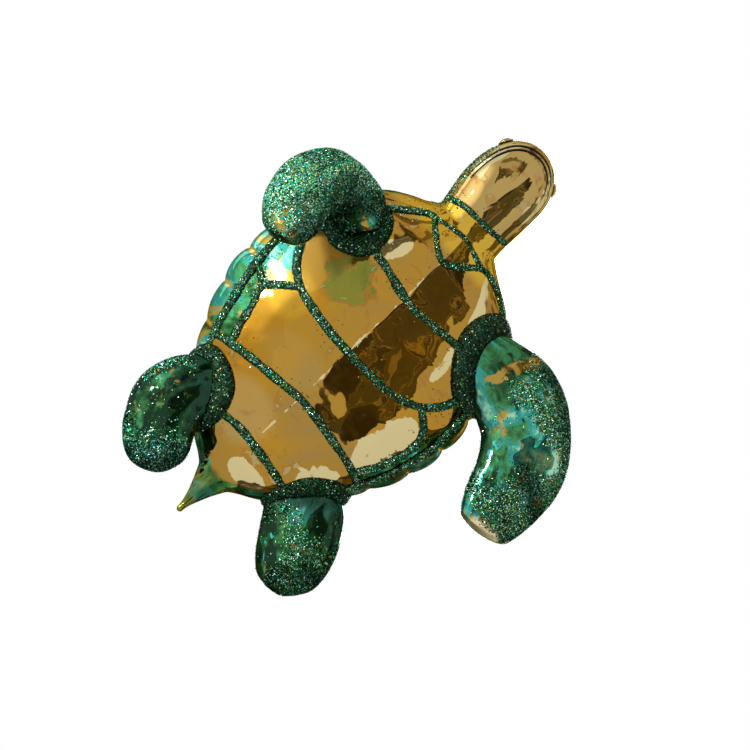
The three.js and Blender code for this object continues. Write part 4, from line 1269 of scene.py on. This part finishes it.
camera = bpy.data.objects.new("camera", bpy.data.cameras.new("camera"))
camera.data.lens = LENS
camera.data.sensor_width = SENSOR
camera.data.clip_start = 0.01
axes = Matrix([heading(right), heading(upward), heading(toward)]).transposed().to_4x4()
camera.matrix_world = Matrix.Translation(to_frame(viewpoint)) @ axes
bpy.context.scene.collection.objects.link(camera)
bpy.context.scene.camera = camera

# Room and floor: a white room, and a plain pale floor far below the ornament, which hangs free.
# The eye and mirrors see both of them white, while what they give to the ornament is held lower.
FLOOR_BELOW = 0.78
FLOOR_REACH = 80.0
WHITE = (1, 1, 1, 1)


def seen(tree):
    """1 for the rays of the eye and of mirrors, and otherwise 0."""
    rays = node(tree, "LightPath").outputs
    return maths(tree, "MAXIMUM", rays["Is Camera Ray"], rays["Is Glossy Ray"])


world = bpy.data.worlds.new("studio")
bpy.context.scene.world = world
world.use_nodes = True
tree = world.node_tree
through_glass = node(tree, "LightPath").outputs["Is Transmission Ray"]
level = sharpen(tree, maths(tree, "MAXIMUM", seen(tree), through_glass), 0.0, 1.0, 0.45, 1.0)
feed(tree, tree.nodes["Background"], {"Strength": level, "Color": WHITE})

floor_finish, tree, shader = finish_of("pale floor")
feed(tree, shader, {"Base Color": (0.9, 0.9, 0.9, 1), "Roughness": 0.9})
glow = node(tree, "Emission", {"Color": WHITE, "Strength": 1.2})
lit = node(tree, "MixShader", {
    0: maths(tree, "MULTIPLY", seen(tree), 0.75), 1: shader.outputs[0], 2: glow.outputs[0]})
feed(tree, tree.nodes["Material Output"], {"Surface": lit.outputs[0]})
mesh = bpy.data.meshes.new("floor")
corners = [(x * FLOOR_REACH, y * FLOOR_REACH, -FLOOR_BELOW) for x, y in ((-1, -1), (1, -1), (1, 1), (-1, 1))]
mesh.from_pydata(corners, [], [(0, 1, 2, 3)])
mesh.materials.append(floor_finish)
floor = bpy.data.objects.new("floor", mesh)
bpy.context.scene.collection.objects.link(floor)

# Shade card: three segments of a bowl of dark mottled cloth, two by the line of sight and one far round.
# Only mirrors see them, and they give the gold and the green the tones that a room would.
CARD_RADIUS = 420.0
CARD_ROWS = 140
CARD_COLUMNS = 280
CARD_WAVES = [(9, 0.04), (5, 0.03), (3, 0.02), (1.7, 0.015)]
CARD_TONES = [
    (0.34, (0.07, 0.062, 0.045)), (0.468, (0.13, 0.116, 0.080)), (0.474, (0.85, 0.700, 0.380)),
    (0.48, (0.20, 0.180, 0.110)), (0.56, (0.16, 0.150, 0.090)), (0.57, (0.50, 0.400, 0.250)),
    (0.61, (0.30, 0.270, 0.180)), (0.62, (0.95, 0.900, 0.800)),
]
SIDE_CARD = dict(polar=(9, 47), swing=(-72, 28), seed=5)
FRONT_CARD = dict(polar=(30, 56), swing=(-140, -95), seed=6)
FAR_CARD = dict(polar=(74, 150), swing=(-140, 140), seed=8)


def glowing(tree, colour, strength):
    """Makes a material give off a colour and nothing else."""
    light = node(tree, "Emission", {"Color": colour, "Strength": strength})
    feed(tree, tree.nodes["Material Output"], {"Surface": light.outputs[0]})


def way_to(polar, swing):
    """Directions from the turtle: an angle off the line of sight, and one round it from left to tail."""
    return (np.cos(polar)[..., None] * toward + (np.sin(polar) * np.cos(swing))[..., None] * leftward
            - (np.sin(polar) * np.sin(swing))[..., None] * ahead)


def bowl(polar, swing, seed):
    """A patch of a sphere about the turtle between two angles each way. Waves tear its edges."""
    polar = np.radians(np.linspace(*polar, CARD_ROWS))[:, None]
    swing = np.radians(np.linspace(*swing, CARD_COLUMNS))[None]
    plan = np.stack(np.broadcast_arrays(polar * 20, swing * 20, 0 * swing), -1)
    return FOCUS + CARD_RADIUS * way_to(polar + waves(plan, seed, *CARD_WAVES), swing)


def card(name, points, level, finish, cuts=()):
    """A sheet over a grid of points that only mirrors see, with no faces after the rows of its cuts."""
    rows, columns = points.shape[:2]
    row, side = np.meshgrid(np.delete(np.arange(rows - 1), cuts), np.arange(columns - 1), indexing="ij")
    quads = four_sided(row, row + 1, side, side + 1, columns)
    mesh = bpy.data.meshes.new(name)
    mesh.from_pydata(to_frame(points).reshape(-1, 3).tolist(), [], quads.reshape(-1, 4).tolist())
    mesh.materials.append(finish)
    made = bpy.data.objects.new(name, mesh)
    mark(made, "level", level)
    made.visible_camera = made.visible_diffuse = made.visible_shadow = made.visible_transmission = False
    bpy.context.scene.collection.objects.link(made)


card_finish, tree, shader = finish_of("shade card")
patches = maths(tree, "ADD", noise(tree, own_place(tree), 6.0, 6.0, 0.58, 0.9), attribute(tree, "level"))
glowing(tree, ramp(tree, patches, *CARD_TONES), 1.0)
side_level = -0.02 - 0.04 * smooth((np.linspace(*SIDE_CARD["swing"], CARD_COLUMNS) + 5) / 25)
front_level = np.full(CARD_COLUMNS, 0.07)
far_level = 0.07 - 0.10 * np.cos(np.radians(np.linspace(*FAR_CARD["swing"], CARD_COLUMNS) - 70))
card_points = np.concatenate([bowl(**SIDE_CARD), bowl(**FRONT_CARD), bowl(**FAR_CARD)])
card_level = np.repeat([side_level, front_level, far_level], CARD_ROWS, 0)
card("shade_card", card_points, card_level, card_finish, [CARD_ROWS - 1, 2 * CARD_ROWS - 1])

# Glow card: a soft white light on the turtle's right, brightest in its middle and fading into the white room.
# It is bent round the turtle as the shade card is, and only mirrors see it.
GLOW_RADIUS = 400.0
GLOW_POLAR = (24, 80)
GLOW_SWING = (142, 218)
GLOW_ROWS = 60
GLOW_COLUMNS = 90
GLOW_BRIGHTEST = 2.5
glow_finish, tree, shader = finish_of("glow card")
glowing(tree, WHITE, sharpen(tree, attribute(tree, "level"), 0.0, 1.0, 1.0, GLOW_BRIGHTEST))
polar = np.linspace(*GLOW_POLAR, GLOW_ROWS)[:, None]
swing = np.linspace(*GLOW_SWING, GLOW_COLUMNS)[None]
off_middle = ((polar - np.mean(GLOW_POLAR)) / (np.ptp(GLOW_POLAR) / 2)) ** 2
off_middle = off_middle + ((swing - np.mean(GLOW_SWING)) / (np.ptp(GLOW_SWING) / 2)) ** 2
glow_points = FOCUS + GLOW_RADIUS * way_to(np.radians(polar), np.radians(swing))
card("glow_card", glow_points, smooth(1 - off_middle), glow_finish)

# Lamps: four round softboxes. The key is small and glints on the belly, the window is broad on its right.
# The other two stand over the back and beyond the tail, for the sides that are turned away.


def lamp(name, way, far, size, watts):
    """A round soft lamp at a distance from the turtle, facing it."""
    data = bpy.data.lights.new(name, "AREA")
    data.shape = "DISK"
    data.size = size
    data.energy = watts
    made = bpy.data.objects.new(name, data)
    spot = to_frame(FOCUS + unit(np.asarray(way, float)) * far)
    look = unit(spot - to_frame(FOCUS))
    aside = unit(np.cross([0.3, 0.9, 0.1], look))
    turned_back = Matrix([aside, np.cross(look, aside), look]).transposed().to_4x4()
    made.matrix_world = Matrix.Translation(spot) @ turned_back
    bpy.context.scene.collection.objects.link(made)


lamp("key", 0.7 * toward - 0.65 * right + 0.55 * upward, 380, 0.05, 1.1)
lamp("window", 0.28 * toward - 0.95 * leftward + 0.1 * ahead, 620, 0.5, 1.1)
lamp("overhead", [0.2, 0.25, 1.0], 700, 0.45, 5.0)
lamp("far_side", [-0.6, 0.8, 0.35], 700, 0.3, 2.0)

bpy.context.scene.view_settings.view_transform = "Standard"
